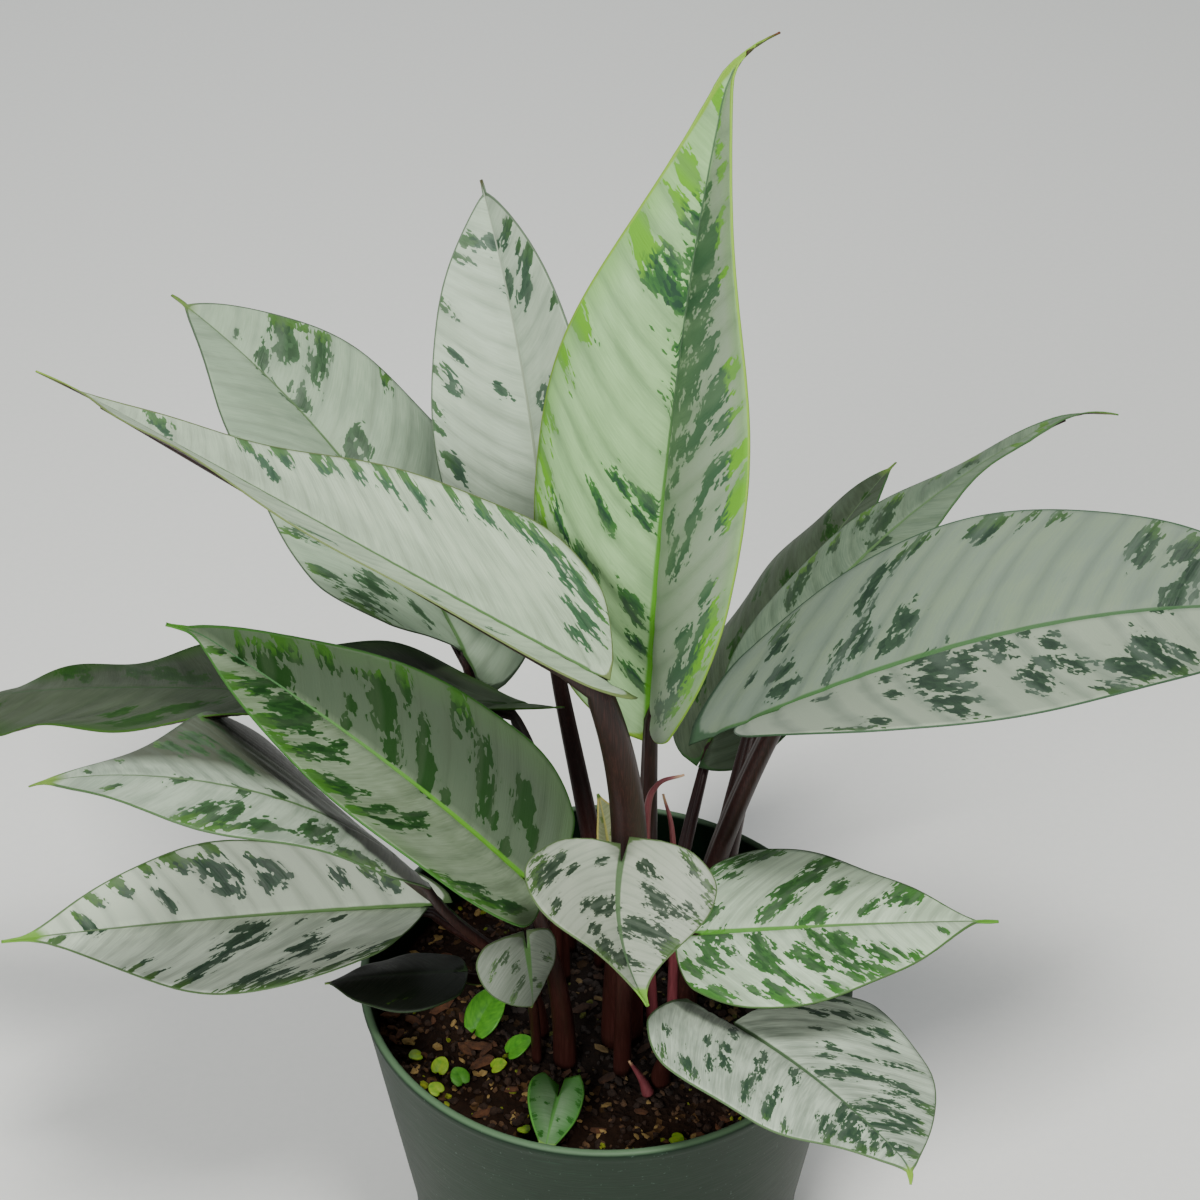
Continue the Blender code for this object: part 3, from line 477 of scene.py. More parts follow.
            (0.22, -0.86, 3.5), (0.3, -0.84, 3.5), (0.28, -0.7, 3.5), (0.36, -0.76, 3.5),
            (0.43, -0.64, 3.5), (0.47, -0.84, 3.5), (0.55, -0.66, 4.4), (0.58, -0.56, 3.5),
            (0.63, -0.84, 4.4), (0.7, -0.62, 5.3), (0.75, -0.76, 5.3), (0.66, -0.95, 4.4),
            (0.2, -0.42, 2.6), (0.3, -0.34, 3.5), (0.33, -0.24, 3.5), (0.44, -0.34, 5.3),
            (0.42, -0.18, 4.4), (0.4, -0.08, 3.5), (0.61, -0.44, 4.4), (0.63, -0.3, 4.4),
            (0.62, -0.15, 3.5), (0.73, -0.42, 6.2), (0.73, -0.22, 6.2), (0.71, -0.06, 4.4),
            (0.85, -0.3, 6.2), (0.84, -0.12, 6.2), (0.86, -0.5, 5.3), (0.88, -0.7, 4.4),
            (0.12, -0.6, 3.5), (0.1, -0.9, 4.4), (0.18, -0.7, 3.5), (0.38, -0.46, 2.6),
            (0.5, -0.5, 2.6), (0.24, 0.2, 3.5), (0.27, 0.3, 3.5), (0.3, 0.36, 3.5), (0.33, 0.48, 3.5),
            (0.35, 0.6, 3.5), (0.37, 0.72, 4.4), (0.39, 0.82, 3.5), (0.22, 0.55, 4.4),
            (0.22, 0.68, 4.4), (0.2, 0.84, 4.4), (0.25, 0.9, 3.5), (0.16, 0.4, 3.5), (0.43, 0.5, 3.5),
            (0.45, 0.66, 3.5), (0.47, 0.82, 3.5), (0.4, 0.2, 3.5), (0.36, 0.12, 3.5), (0.6, 0.1, 4.4),
            (0.65, 0.14, 5.3), (0.63, 0.28, 4.4), (0.67, 0.32, 4.4), (0.7, 0.45, 5.3),
            (0.62, 0.55, 4.4), (0.66, 0.66, 4.4), (0.7, 0.62, 3.5), (0.76, 0.14, 4.4),
            (0.83, 0.12, 5.3), (0.8, 0.5, 5.3), (0.78, 0.76, 5.3), (0.85, 0.3, 4.4), (0.08, 0.84, 3.5),
            (0.15, 0.94, 3.5), (0.12, 0.5, 3.5), (0.07, 0.2, 3.5), (0.55, 0.9, 3.5), (0.68, 0.9, 3.5),
        ],
    ),
    "potSmall": dict(
        ground="#777F73", shade="#646C60", blotch="#3F4F39", deep="#2D3C2A", margin="#4A5C3C",
        grain=2.4, wave=0.5,
        blots=[
            (0.25, 0.3, 2), (0.46, 0.3, 2.5), (0.2, 0.7, 2.5), (0.28, -0.6, 2.5), (0.52, -0.14, 2),
            (0.1, 0.5, 2), (0.6, 0.7, 2), (0.66, -0.5, 2),
        ],
    ),
    "baby": dict(
        ground="#8FB088", shade="#7CA076", blotch="#3C7A30", deep="#2C6424", rib="#5C9A48",
        ribEnd="#6FA85A", margin="#4E8A38", grain=3.0, glow=0.0, tipColour="#8CB85A", tipStart=0.8,
        wave=0.5, foldShadeColour="#5E8A54", foldShadeTone=0.1, heelRound=0.015, glowColour="#478438",
        edgeTint=0.85,
        blots=[
            (0.15, -0.85, 2.4), (0.3, -0.95, 2.4), (0.48, -0.85, 2.2), (0.65, -0.7, 2.2),
            (0.2, 0.9, 2.4), (0.38, 0.9, 2.4), (0.55, 0.85, 2.2), (0.72, 0.6, 2.2),
            (0.42, -0.25, 1.4), (0.25, 0.3, 1.4),
        ],
    ),
    # rim: its near-black silver and greens are painted shade, a leaf lying in deep shade over the rim
    "rim": dict(
        ground="#1A1F18", shade="#141912", blotch="#11180E", deep="#121A10", margin="#24351E",
        grain=1.6, wave=0.8, foldShadeColour="#141A12", rib="#1C2618", ribEnd="#1C2618",
        blots=[(0.3, -0.6, 4), (0.5, 0.4, 4), (0.7, -0.2, 3), (0.2, 0.3, 3)],
    ),
    "folded": dict(
        ground="#A9B08A", shade="#8E9870", blotch="#6A8040", deep="#566C38", rib="#A8AA58",
        ribEnd="#B4AE68", margin="#B0A85C", grain=2.2, wave=0.4, foldShadeTone=0.15,
        blots=[(0.3, -0.6, 2), (0.5, 0.4, 2), (0.7, -0.3, 2)],
    ),
}


def bladeUpper(name, look, seed):
    # Variegated leaf skin, grown: air under the skin scatters a satin silver. The green patches
    # have none, so they look darker and glossier, with ragged ends along the side veins.
    material, tree, shader = startMaterial(name)
    share = addNode(tree, "ShaderNodeUVMap", uv_map="bladeShare")
    metric = addNode(tree, "ShaderNodeUVMap", uv_map="bladeCentimetres")
    run = addNode(tree, "ShaderNodeSeparateXYZ", {0: share.outputs[0]}).outputs[0]  # 0 heel, 1 tip
    metricParts = addNode(tree, "ShaderNodeSeparateXYZ", {0: metric.outputs[0]})
    along = metricParts.outputs[0]  # cm, constant along a side vein
    across = metricParts.outputs[1]  # cm from the midrib
    edge = addNode(tree, "ShaderNodeAttribute", attribute_name="marginDistance").outputs["Fac"]  # cm
    lean = addNode(tree, "ShaderNodeAttribute", attribute_name="blotchLean").outputs["Fac"]
    spot = addNode(tree, "ShaderNodeCombineXYZ", {0: along, 1: across, 2: 1.7 * seed}).outputs[0]
    # blocks of cells, the long side on the veins, each all silver or all green
    wobble = addNode(tree, "ShaderNodeTexNoise", {"Vector": spot, "Scale": 11.0, "Detail": 2.0})
    shaken = addNode(
        tree, "ShaderNodeVectorMath", {0: wobble.outputs[1], 1: (0.07, 0.10, 0.0), 2: spot},
        operation="MULTIPLY_ADD",
    )
    grain = look["grain"]
    short = 0.095 / grain  # cm
    long = 0.150 / grain**0.6  # cm
    block = addNode(
        tree, "ShaderNodeVectorMath", {0: shaken.outputs[0], 1: (1 / short, 1 / long, 1.0)},
        operation="MULTIPLY",
    )
    cells = addNode(
        tree, "ShaderNodeTexVoronoi", {"Vector": block.outputs[0], "Scale": 1.0}, voronoi_dimensions="2D"
    )
    # the green gathers in patches 3 by 5 mm, or finer where the grain is
    broad = 0.32 / grain**0.8
    deepPatch = 0.52 / grain**0.5
    place = addNode(
        tree, "ShaderNodeVectorMath",
        {0: cells.outputs["Position"], 1: (short / broad, long / deepPatch, 0.0)},
        operation="MULTIPLY",
    )
    moved = addNode(tree, "ShaderNodeVectorMath", {0: place.outputs[0], 1: (3.1 * seed, 1.3 * seed, seed)})
    patch = addNode(
        tree, "ShaderNodeTexNoise",
        {"Vector": moved.outputs[0], "Scale": 1.0, "Detail": 3.0, "Roughness": 0.6}
    )
    chance = addNode(tree, "ShaderNodeSeparateXYZ", {0: cells.outputs["Color"]})
    odd = addNode(
        tree, "ShaderNodeMath",
        {0: chance.outputs[0], 1: 0.12, 2: patch.outputs[0]}, operation="MULTIPLY_ADD"
    )
    total = addNode(tree, "ShaderNodeMath", {0: lean, 1: 0.46, 2: odd.outputs[0]}, operation="MULTIPLY_ADD")
    limit = 0.85 - look["spread"]
    blotchMask = addNode(
        tree, "ShaderNodeMapRange", {0: total.outputs[0], 1: limit, 2: limit + 0.012}
    ).outputs[0]
    # ground: slow drift between two silvers, streaks 0.6 mm apart along the veins and fine flecks
    slow = addNode(tree, "ShaderNodeTexNoise", {"Vector": spot, "Scale": 0.9, "Detail": 2.0})
    streakPlace = addNode(
        tree, "ShaderNodeVectorMath", {0: spot, 1: (16.0, 1.6, 1.0)}, operation="MULTIPLY"
    )
    streak = addNode(
        tree, "ShaderNodeTexNoise", {"Vector": streakPlace.outputs[0], "Scale": 1.0, "Detail": 3.0}
    )
    mottled = addNode(
        tree, "ShaderNodeMath", {0: streak.outputs[0], 1: 0.9, 2: slow.outputs[0]}, operation="MULTIPLY_ADD"
    )
    thin = addNode(tree, "ShaderNodeMapRange", {0: mottled.outputs[0], 1: 0.75, 2: 1.15}).outputs[0]
    ground = addNode(
        tree, "ShaderNodeMix", {0: thin, 6: look["ground"], 7: look["shade"]}, data_type="RGBA"
    ).outputs[2]
    # painted light and shade on one half: the right half's silver, paler or darker, spreads out from the
    # midrib
    if look["paintedLightHalfGround"]:
        near, far = look["paintedLightHalfReach"]
        half = addNode(tree, "ShaderNodeMapRange", {0: across, 1: near, 2: far}).outputs[0]
        ground = addNode(
            tree, "ShaderNodeMix", {0: half, 6: ground, 7: look["paintedLightHalfGround"]}, data_type="RGBA"
        ).outputs[2]
    # the margin's yellow, which the heel lacks and which fades before the tip
    late = addNode(tree, "ShaderNodeMapRange", {0: run, 1: 0.86, 2: 0.70, 3: 0.15}).outputs[0]
    past = addNode(
        tree, "ShaderNodeMapRange", {0: run, 1: look["heelPlain"], 2: look["heelPlain"] + 0.1}
    ).outputs[0]
    here = addNode(tree, "ShaderNodeMath", {0: late, 1: past}, operation="MULTIPLY").outputs[0]
    reach = addNode(tree, "ShaderNodeMath", {0: here, 1: look["edgeTint"]}, operation="MULTIPLY").outputs[0]
    tint = addNode(tree, "ShaderNodeMapRange", {0: edge, 1: 0.7, 2: 0.05, 4: reach}).outputs[0]
    ground = addNode(
        tree, "ShaderNodeMix", {0: tint, 6: ground, 7: look["glowColour"]}, data_type="RGBA"
    ).outputs[2]
    # cells that just miss being green keep a little of it
    nearly = addNode(
        tree, "ShaderNodeMapRange", {0: total.outputs[0], 1: limit - 0.07, 2: limit, 4: look["halo"]}
    ).outputs[0]
    ground = addNode(
        tree, "ShaderNodeMix", {0: nearly, 6: ground, 7: look["blotch"]}, data_type="RGBA"
    ).outputs[2]
    depth = addNode(tree, "ShaderNodeMapRange", {0: total.outputs[0], 1: limit, 2: limit + 0.20}).outputs[0]
    green = addNode(
        tree, "ShaderNodeMix", {0: depth, 6: look["blotch"], 7: look["deep"]}, data_type="RGBA"
    ).outputs[2]
    # painted shade on the greens of the right half
    if look["paintedShadeHalfBlotch"]:
        half = addNode(tree, "ShaderNodeMapRange", {0: across, 1: -0.05, 2: 0.10}).outputs[0]
        green = addNode(
            tree, "ShaderNodeMix", {0: half, 6: green, 7: look["paintedShadeHalfBlotch"]}, data_type="RGBA"
        ).outputs[2]
    # the greens turn yellower near the margin, cell by cell
    nearEdge = addNode(
        tree, "ShaderNodeMath", {0: chance.outputs[1], 1: 0.35, 2: edge}, operation="MULTIPLY_ADD"
    ).outputs[0]
    glowShare = addNode(
        tree, "ShaderNodeMapRange",
        {0: nearEdge, 1: look["glowReach"], 2: look["glowReach"] - 0.25, 4: look["glow"]}
    ).outputs[0]
    glowShare = addNode(tree, "ShaderNodeMath", {0: glowShare, 1: past}, operation="MULTIPLY").outputs[0]
    green = addNode(
        tree, "ShaderNodeMix", {0: glowShare, 6: green, 7: look["glowColour"]}, data_type="RGBA"
    ).outputs[2]
    skin = addNode(tree, "ShaderNodeMix", {0: blotchMask, 6: ground, 7: green}, data_type="RGBA").outputs[2]
    # side veins: the fold beside each is greyer and a faint line 0.5 mm wide lies in its crease; both are
    # the vein's own darker green with painted shade added
    turn = addNode(tree, "ShaderNodeMath", {0: along, 1: look["veinRate"]}, operation="MULTIPLY")
    wave = addNode(tree, "ShaderNodeMath", {0: turn.outputs[0]}, operation="COSINE")
    uneven = addNode(
        tree, "ShaderNodeMath", {0: slow.outputs[0], 1: 2.2, 2: wave.outputs[0]}, operation="MULTIPLY_ADD"
    )
    fold = addNode(
        tree, "ShaderNodeMapRange", {0: uneven.outputs[0], 1: 1.1, 2: 2.2, 4: look["foldShadeTone"]}
    ).outputs[0]
    skin = addNode(
        tree, "ShaderNodeMix", {0: fold, 6: skin, 7: look["foldShadeColour"]}, data_type="RGBA"
    ).outputs[2]
    crease = addNode(
        tree, "ShaderNodeMapRange", {0: wave.outputs[0], 1: 0.90, 2: 1.0, 4: look["veinLineShade"]}
    ).outputs[0]
    skin = addNode(
        tree, "ShaderNodeMix", {0: crease, 6: skin, 7: look["deep"]}, data_type="RGBA"
    ).outputs[2]
    # midrib: 2 to 3 mm wide at the heel, narrowing towards the tip
    distance = addNode(tree, "ShaderNodeMath", {0: across}, operation="ABSOLUTE").outputs[0]
    ribWidth = addNode(
        tree, "ShaderNodeMapRange", {0: run, 2: look["ribRun"], 3: look["ribWidth"], 4: look["ribThin"]}
    ).outputs[0]
    ribRatio = addNode(tree, "ShaderNodeMath", {0: distance, 1: ribWidth}, operation="DIVIDE").outputs[0]
    ribMask = addNode(
        tree, "ShaderNodeMapRange", {0: ribRatio, 1: 1.2, 2: 0.7, 4: 0.92}, interpolation_type="SMOOTHSTEP"
    ).outputs[0]
    ribChange = addNode(tree, "ShaderNodeMapRange", {0: run, 1: 0.2, 2: look["ribRun"]}).outputs[0]
    ribColour = addNode(
        tree, "ShaderNodeMix", {0: ribChange, 6: look["rib"], 7: look["ribEnd"]}, data_type="RGBA"
    ).outputs[2]
    skin = addNode(tree, "ShaderNodeMix", {0: ribMask, 6: skin, 7: ribColour}, data_type="RGBA").outputs[2]
    # margin: a thin line where the skin thickens
    width = 0.1 * look["marginWidth"]
    line = addNode(tree, "ShaderNodeMapRange", {0: edge, 1: 1.15 * width, 2: 0.75 * width}).outputs[0]
    skin = addNode(
        tree, "ShaderNodeMix", {0: line, 6: skin, 7: look["margin"]}, data_type="RGBA"
    ).outputs[2]
    ended = addNode(
        tree, "ShaderNodeMapRange", {0: run, 1: look["tipStart"], 2: look["tipStart"] + 0.03}
    ).outputs[0]
    skin = addNode(
        tree, "ShaderNodeMix", {0: ended, 6: skin, 7: look["tipColour"]}, data_type="RGBA"
    ).outputs[2]
    tree.links.new(skin, shader.inputs["Base Color"])
    gloss = addNode(tree, "ShaderNodeMapRange", {0: blotchMask, 3: 0.48, 4: 0.40})
    tree.links.new(gloss.outputs[0], shader.inputs["Roughness"])
    shader.inputs["IOR"].default_value = 1.42  # leaf wax
    shader.inputs["Specular IOR Level"].default_value = look["shine"]
    heights = addNode(
        tree, "ShaderNodeMath", {0: crease, 1: -1.5, 2: streak.outputs[0]}, operation="MULTIPLY_ADD"
    )
    bump = addNode(
        tree, "ShaderNodeBump", {"Height": heights.outputs[0], "Strength": 0.35, "Distance": 0.0003}
    )
    tree.links.new(bump.outputs[0], shader.inputs["Normal"])
    return material


def bladeUnder(name, hexDark, hexLight, hexTip):
    # Leaf underside, grown: dark burgundy pigment under a matt skin, a little paler on the veins.
    material, tree, shader = startMaterial(name)
    metric = addNode(tree, "ShaderNodeUVMap", uv_map="bladeCentimetres")
    parts = addNode(tree, "ShaderNodeSeparateXYZ", {0: metric.outputs[0]})
    place = addNode(
        tree, "ShaderNodeVectorMath", {0: metric.outputs[0], 1: (12.0, 1.0, 1.0)}, operation="MULTIPLY"
    )
    streak = addNode(tree, "ShaderNodeTexNoise", {"Vector": place.outputs[0], "Scale": 1.0, "Detail": 3.0})
    turn = addNode(tree, "ShaderNodeMath", {0: parts.outputs[0], 1: 5.0}, operation="MULTIPLY")
    wave = addNode(tree, "ShaderNodeMath", {0: turn.outputs[0]}, operation="COSINE")
    total = addNode(
        tree, "ShaderNodeMath",
        {0: wave.outputs[0], 1: 0.25, 2: streak.outputs[0]}, operation="MULTIPLY_ADD"
    )
    mask = addNode(tree, "ShaderNodeMapRange", {0: total.outputs[0], 1: 0.35, 2: 0.9}).outputs[0]
    skin = addNode(tree, "ShaderNodeMix", {0: mask, 6: hexDark, 7: hexLight}, data_type="RGBA").outputs[2]
    # the drip tip has lost its burgundy
    share = addNode(tree, "ShaderNodeUVMap", uv_map="bladeShare")
    shareParts = addNode(tree, "ShaderNodeSeparateXYZ", {0: share.outputs[0]})
    ended = addNode(tree, "ShaderNodeMapRange", {0: shareParts.outputs[0], 1: 0.93, 2: 0.97}).outputs[0]
    skin = addNode(tree, "ShaderNodeMix", {0: ended, 6: skin, 7: hexTip}, data_type="RGBA").outputs[2]
    tree.links.new(skin, shader.inputs["Base Color"])
    shader.inputs["Roughness"].default_value = 0.55
    shader.inputs["Specular IOR Level"].default_value = 0.3
    bump = addNode(
        tree, "ShaderNodeBump", {"Height": total.outputs[0], "Strength": 0.3, "Distance": 0.0003}
    )
    tree.links.new(bump.outputs[0], shader.inputs["Normal"])
    return material


def directionOf(azimuth, rise):
    a = np.radians(azimuth)
    r = np.radians(rise)
    return np.stack([np.cos(r) * np.cos(a), np.cos(r) * np.sin(a), np.sin(r)], -1)


def bearingOf(shape, s):
    # azimuth and rise of the midrib, with the drip tip's turn near its end
    turned = smoothStep(1.0 - 2.2 * shape["drip"], 1.0, s)
    sideways, up = shape["hook"]
    azimuth = shape["azimuth"] + shape["swing"] * s + sideways * turned
    return azimuth, shape["rise"] - shape["droop"] * s**1.3 + up * turned


def midribFrames(shape, shares):
    # place, forward, right and upper directions at shares of the midrib's length
    steps = 48
    marks = np.linspace(0.0, 1.0, steps + 1)
    headings = directionOf(*bearingOf(shape, marks[:-1] + 0.5 / steps))
    travel = np.concatenate([np.zeros((1, 3)), np.cumsum(headings, 0)]) * shape["length"] * mm / steps
    places = np.array(shape["at"]) * mm + travel
    azimuth, rise = bearingOf(shape, marks)
    forward = directionOf(azimuth, rise)
    level = np.stack([np.sin(np.radians(azimuth)), -np.cos(np.radians(azimuth)), 0.0 * azimuth], -1)
    upward = np.cross(level, forward)
    turn = np.radians(shape["roll"] + shape["twist"] * marks)[:, None]
    right = level * np.cos(turn) + upward * np.sin(turn)
    upper = upward * np.cos(turn) - level * np.sin(turn)
    return [
        np.stack([np.interp(shares, marks, field[:, k]) for k in range(3)], -1)
        for field in (places, forward, right, upper)
    ]


def halfWidthShare(shape, s):
    widest = shape["widest"]
    heel = shape["heel"]
    lower = heel + (1.0 - heel) * np.sin(0.5 * np.pi * np.clip(s / widest, 0, 1)) ** 0.8
    along = np.clip((s - widest) / (1.0 - shape["drip"] - widest), 0, 1)
    upper = np.maximum(np.cos(0.5 * np.pi * along), 0.0) ** shape["tip"]
    return np.where(s < widest, lower, upper)


def bladeChart(shape, look, s, side):
    # how far each point lies ahead of the heel, across from the midrib and from the margin, in
    # metres, and where its side vein leaves the midrib
    length = shape["length"] * mm
    half = 0.5 * shape["width"] * mm
    hand = np.sign(side)
    reach = np.abs(side)
    wider = 1.0 + hand * (shape["skew"] + shape["drift"] * (2.0 * s - 1.0))
    thread = look["thread"] * (1.0 - 0.5 * smoothStep(0.94, 1.0, s)) * mm
    rounding = np.sqrt(1.0 - (1.0 - np.clip(s / look["heelRound"], 0, 1)) ** 2)
    breadth = half * halfWidthShare(shape, s) * wider * rounding + thread
    across = breadth * side
    out = np.abs(across)
    back = shape["lobe"] * (1.0 + hand * shape["lean"]) * np.clip(1.0 - 2.0 * s, 0, 1) ** 2 * reach**1.5
    ahead = 0.06 * np.sin(np.pi * s) * reach**2 - back
    margin = breadth * (1.0 - reach)
    sweep = bladeBuild["veinSweep"] * np.where(side < 0, *look["sweep"])
    vein = length * (s + ahead) - sweep * (0.55 * out + 0.45 * out * out / half)
    gap = look["veinGap"] * length
    vein = vein + 0.16 * gap * np.sin(1.9 * vein / gap + 2.0 * hand)  # no two side veins as far apart
    return length * ahead, across, margin, vein


def blotLean(shape, look, across, vein):
    # 1 in the middle of a blot, fading over its reach, and less far across the veins
    lean = np.zeros_like(across)
    for s, side, reach in look["blots"]:
        _, middle, _, branch = bladeChart(shape, look, np.array(s), np.array(side))
        reach = reach * min(1.0, 0.45 + halfWidthShare(shape, s)) * mm  # smaller where the blade narrows
        wide = (across - middle) / (1.05 * reach)
        deep = (vein - branch) / (0.88 * reach)
        lean = np.maximum(lean, np.exp(-(wide**2) - deep**2))
    return lean


def bladeGrid(shape, look, s, side, seed):
    # surface points with the relief of side veins, midrib groove and wavy margin
    places, forward, right, upper = midribFrames(shape, s)
    s = s[:, None]
    side = side[None]
    reach = np.abs(side)
    ahead, across, margin, vein = bladeChart(shape, look, s, side)
    out = np.abs(across)
    fold = np.radians(shape["fold"] - shape["unfold"] * s)
    lift = np.sin(fold) * out - shape["cup"] * out * out / (0.5 * shape["width"] * mm)
    size = min(1.0, shape["length"] / bladeBuild["fullLength"]) * mm
    gap = look["veinGap"] * shape["length"] * mm
    turn = np.mod(vein / gap, 1.0)  # 0 in one crease, 1 in the next
    swelling = 2.4 * turn**0.55 * (1.0 - turn) ** 1.1 - 0.6
    lift = lift + bladeBuild["quilting"] * gap * swelling * np.sin(np.pi * reach) ** 0.6 * (1.0 - s**3)
    groove = np.exp(-((out / (bladeBuild["grooveWidth"] * mm)) ** 2)) * (1.0 - 0.8 * s)
    lift = lift - size * bladeBuild["grooveDepth"] * groove
    phase = 0.37 * seed if look["wavePhase"] is None else look["wavePhase"]
    ripple = np.sin(2 * np.pi * (look["waves"] * s + phase + 0.5 * (side > 0)))
    lift = lift + size * look["wave"] * ripple * reach**3 * np.sin(np.pi * s) ** 0.5
    points = (
        places[:, None]
        + ahead[..., None] * forward[:, None]
        + (across * np.cos(fold))[..., None] * right[:, None]
        + lift[..., None] * upper[:, None]
    )
    return points, across, margin, vein


def makeBlade(name, cadName, shape, look, upperSkin, underSkin, seed):
    large = shape["length"] > bladeBuild["smallLength"]
    rows = bladeBuild["alongSteps"] if large else bladeBuild["smallAlong"]
    columns = bladeBuild["acrossSteps"] if large else bladeBuild["smallAcross"]
    s = np.linspace(0.0, 1.0, rows + 1) ** 1.05
    x = np.linspace(-1.0, 1.0, columns + 1)
    side = np.sign(x) * np.abs(x) ** 1.1
    points, across, margin, vein = bladeGrid(shape, look, s, side, seed)
    index = np.arange((rows + 1) * (columns + 1)).reshape(rows + 1, columns + 1)
    faces = np.stack([index[:-1, :-1], index[:-1, 1:], index[1:, 1:], index[1:, :-1]], -1).reshape(-1, 4)
    mesh = bpy.data.meshes.new(name)
    mesh.from_pydata(points.reshape(-1, 3).tolist(), [], faces.tolist())
    corner = faces.ravel()
    sides = np.broadcast_to(0.5 + 0.5 * side[None], across.shape)
    shares = np.stack([np.broadcast_to(s[:, None], across.shape), sides], -1).reshape(-1, 2)[corner]
    centimetres = np.stack([vein * 100, across * 100], -1).reshape(-1, 2)[corner]
    for key, values in {"bladeShare": shares, "bladeCentimetres": centimetres}.items():
        chart = mesh.uv_layers.new(name=key)
        chart.uv.foreach_set("vector", values.astype(np.float32).ravel())
    fields = {"marginDistance": margin * 100, "blotchLean": blotLean(shape, look, across, vein)}
    for key, values in fields.items():
        field = mesh.attributes.new(key, "FLOAT", "POINT")
        field.data.foreach_set("value", values.astype(np.float32).ravel())
    mesh.shade_smooth()
    piece = addPiece(name, mesh, [upperSkin, underSkin], "leaf", *([cadName] if cadName else []))
    shell = piece.modifiers.new("thickness", "SOLIDIFY")
    shell.thickness = bladeBuild["thickness"] * mm
    shell.offset = -1.0
    shell.material_offset = 1
    return piece


def curvePoint(a, b, c, d, t):
    u = 1.0 - t
    return a * u**3 + b * 3 * u * u * t + c * 3 * u * t * t + d * t**3


potBuild = dict(
    rimRadius=79, height=125, bendHeight=32, bendRadius=65.5, footRadius=64,
    wall=1.6, floorLift=3, padRadius=14, drainRing=38, drainRadius=4, drainCount=6, turnSteps=128,
    bead=1.4, rollWidth=1.5, footRound=0.8, footRing=6, footSlope=2,
)
soilBuild = dict(
    top=102, crown=5, radius=70, lump=1.3, rings=60, spokes=150, seed=5, canopyShadeMiddle=(0.012, 0.014, 0.105),
    wallGap=0.4, bitMargin=2.5, lowInset=3.5, lowLift=0.6,
)


def soilHeight(radius):
    # mm above the base at a radius in mm
    return soilBuild["top"] + soilBuild["crown"] * (1.0 - (radius / soilBuild["radius"]) ** 2)


# How a stalk runs: its heading at the blade is a mix of the blade's own, upright and straight.
stalkBuild = dict(
    alongBlade=0.45, upright=0.55, straight=0.5,
    standOff=0.003,  # m short of the blade's heel
    footLift=0.6,  # mm above the soil
    riseReach=0.35,  # share of the distance that it leaves the soil upright
    arriveReach=0.30,  # and that it follows its heading at the blade
    taper=0.9,
    rings=40,
    keelRings=34,
    keelShare=0.72,  # of the neck's radius
    keelStart=0.03,  # shares of the blade's length
    keelEnd=0.88,
    keelLeast=0.00018,  # m, radius at its thin end
    keelGap=0.0005,  # m below the groove
)


def stalkPath(shape, steps):
    # centre line from the soil to the heel of the blade, in metres
    places, forward, _, _ = midribFrames(shape, np.array([0.0]))
    top, ahead = places[0], forward[0]
    x, y = shape["foot"]
    inner = max(math.hypot(x, y) - shape["sheath"], 0.0)
    run = stalkBuild
    foot = np.array([x, y, soilHeight(inner) + run["footLift"]]) * mm
    reach = np.linalg.norm(top - foot)
    arrive = ahead * run["alongBlade"] + np.array([0, 0, run["upright"]])
    arrive = arrive + (top - foot) / reach * run["straight"]
    arrive = arrive / np.linalg.norm(arrive)
    end = top - arrive * run["standOff"]
    t = np.linspace(0.0, 1.0, steps)[:, None]
    leave = foot + np.array([0, 0, run["riseReach"] * reach])
    points = curvePoint(foot, leave, end - arrive * run["arriveReach"] * reach, end, t)
    return points, t[:, 0]


def tubeMesh(name, path, radii, shapeRing, ringCount=22):
    # skin around a path; shapeRing gives each ring's reach in (outward, sideways)
    path = np.asarray(path)
    tangents = np.gradient(path, axis=0)
    tangents /= np.linalg.norm(tangents, axis=1)[:, None]
    guide = np.array([path[0][0], path[0][1], 0.0]) + 1e-6
    verts = []
    for k, (place, ahead) in enumerate(zip(path, tangents)):
        outward = guide - ahead * np.dot(guide, ahead)
        outward /= np.linalg.norm(outward)
        guide = outward
        sideways = np.cross(ahead, outward)
        for j in range(ringCount):
            o, w = shapeRing(2 * math.pi * j / ringCount, k / (len(path) - 1))
            verts.append(place + radii[k] * (outward * o + sideways * w))
    faces = []
    last = len(path) - 1
    for k in range(last):
        for j in range(ringCount):
            n = (j + 1) % ringCount
            low = k * ringCount
            high = low + ringCount
            faces.append((low + j, low + n, high + n, high + j))
    faces.append(tuple(range(ringCount - 1, -1, -1)))
    faces.append(tuple(last * ringCount + j for j in range(ringCount)))
    mesh = bpy.data.meshes.new(name)
    mesh.from_pydata([tuple(v) for v in verts], [], faces)
    turns = []
    climbs = []
    for face in mesh.polygons:
        for v in face.vertices:
            turns.append((v % ringCount) / ringCount)
            climbs.append((v // ringCount) / last)
    data = np.stack([turns, climbs], -1).astype(np.float32)
    mesh.uv_layers.new(name="stalkMap").uv.foreach_set("vector", data.ravel())
    mesh.shade_smooth()
    return mesh


def stalkRing(angle, climb):
    # the lower half is a sheath: flattened, with a channel on the inner side
    sheath = float(1.0 - smoothStep(0.35, 0.75, climb))
    o = math.cos(angle) * (1.0 - 0.10 * sheath)
    w = math.sin(angle) * (1.0 + 0.16 * sheath)
    channel = math.exp(-(((angle - math.pi) / 0.42) ** 2)) * (0.15 + 0.45 * sheath)
    return o * (1.0 - channel), w


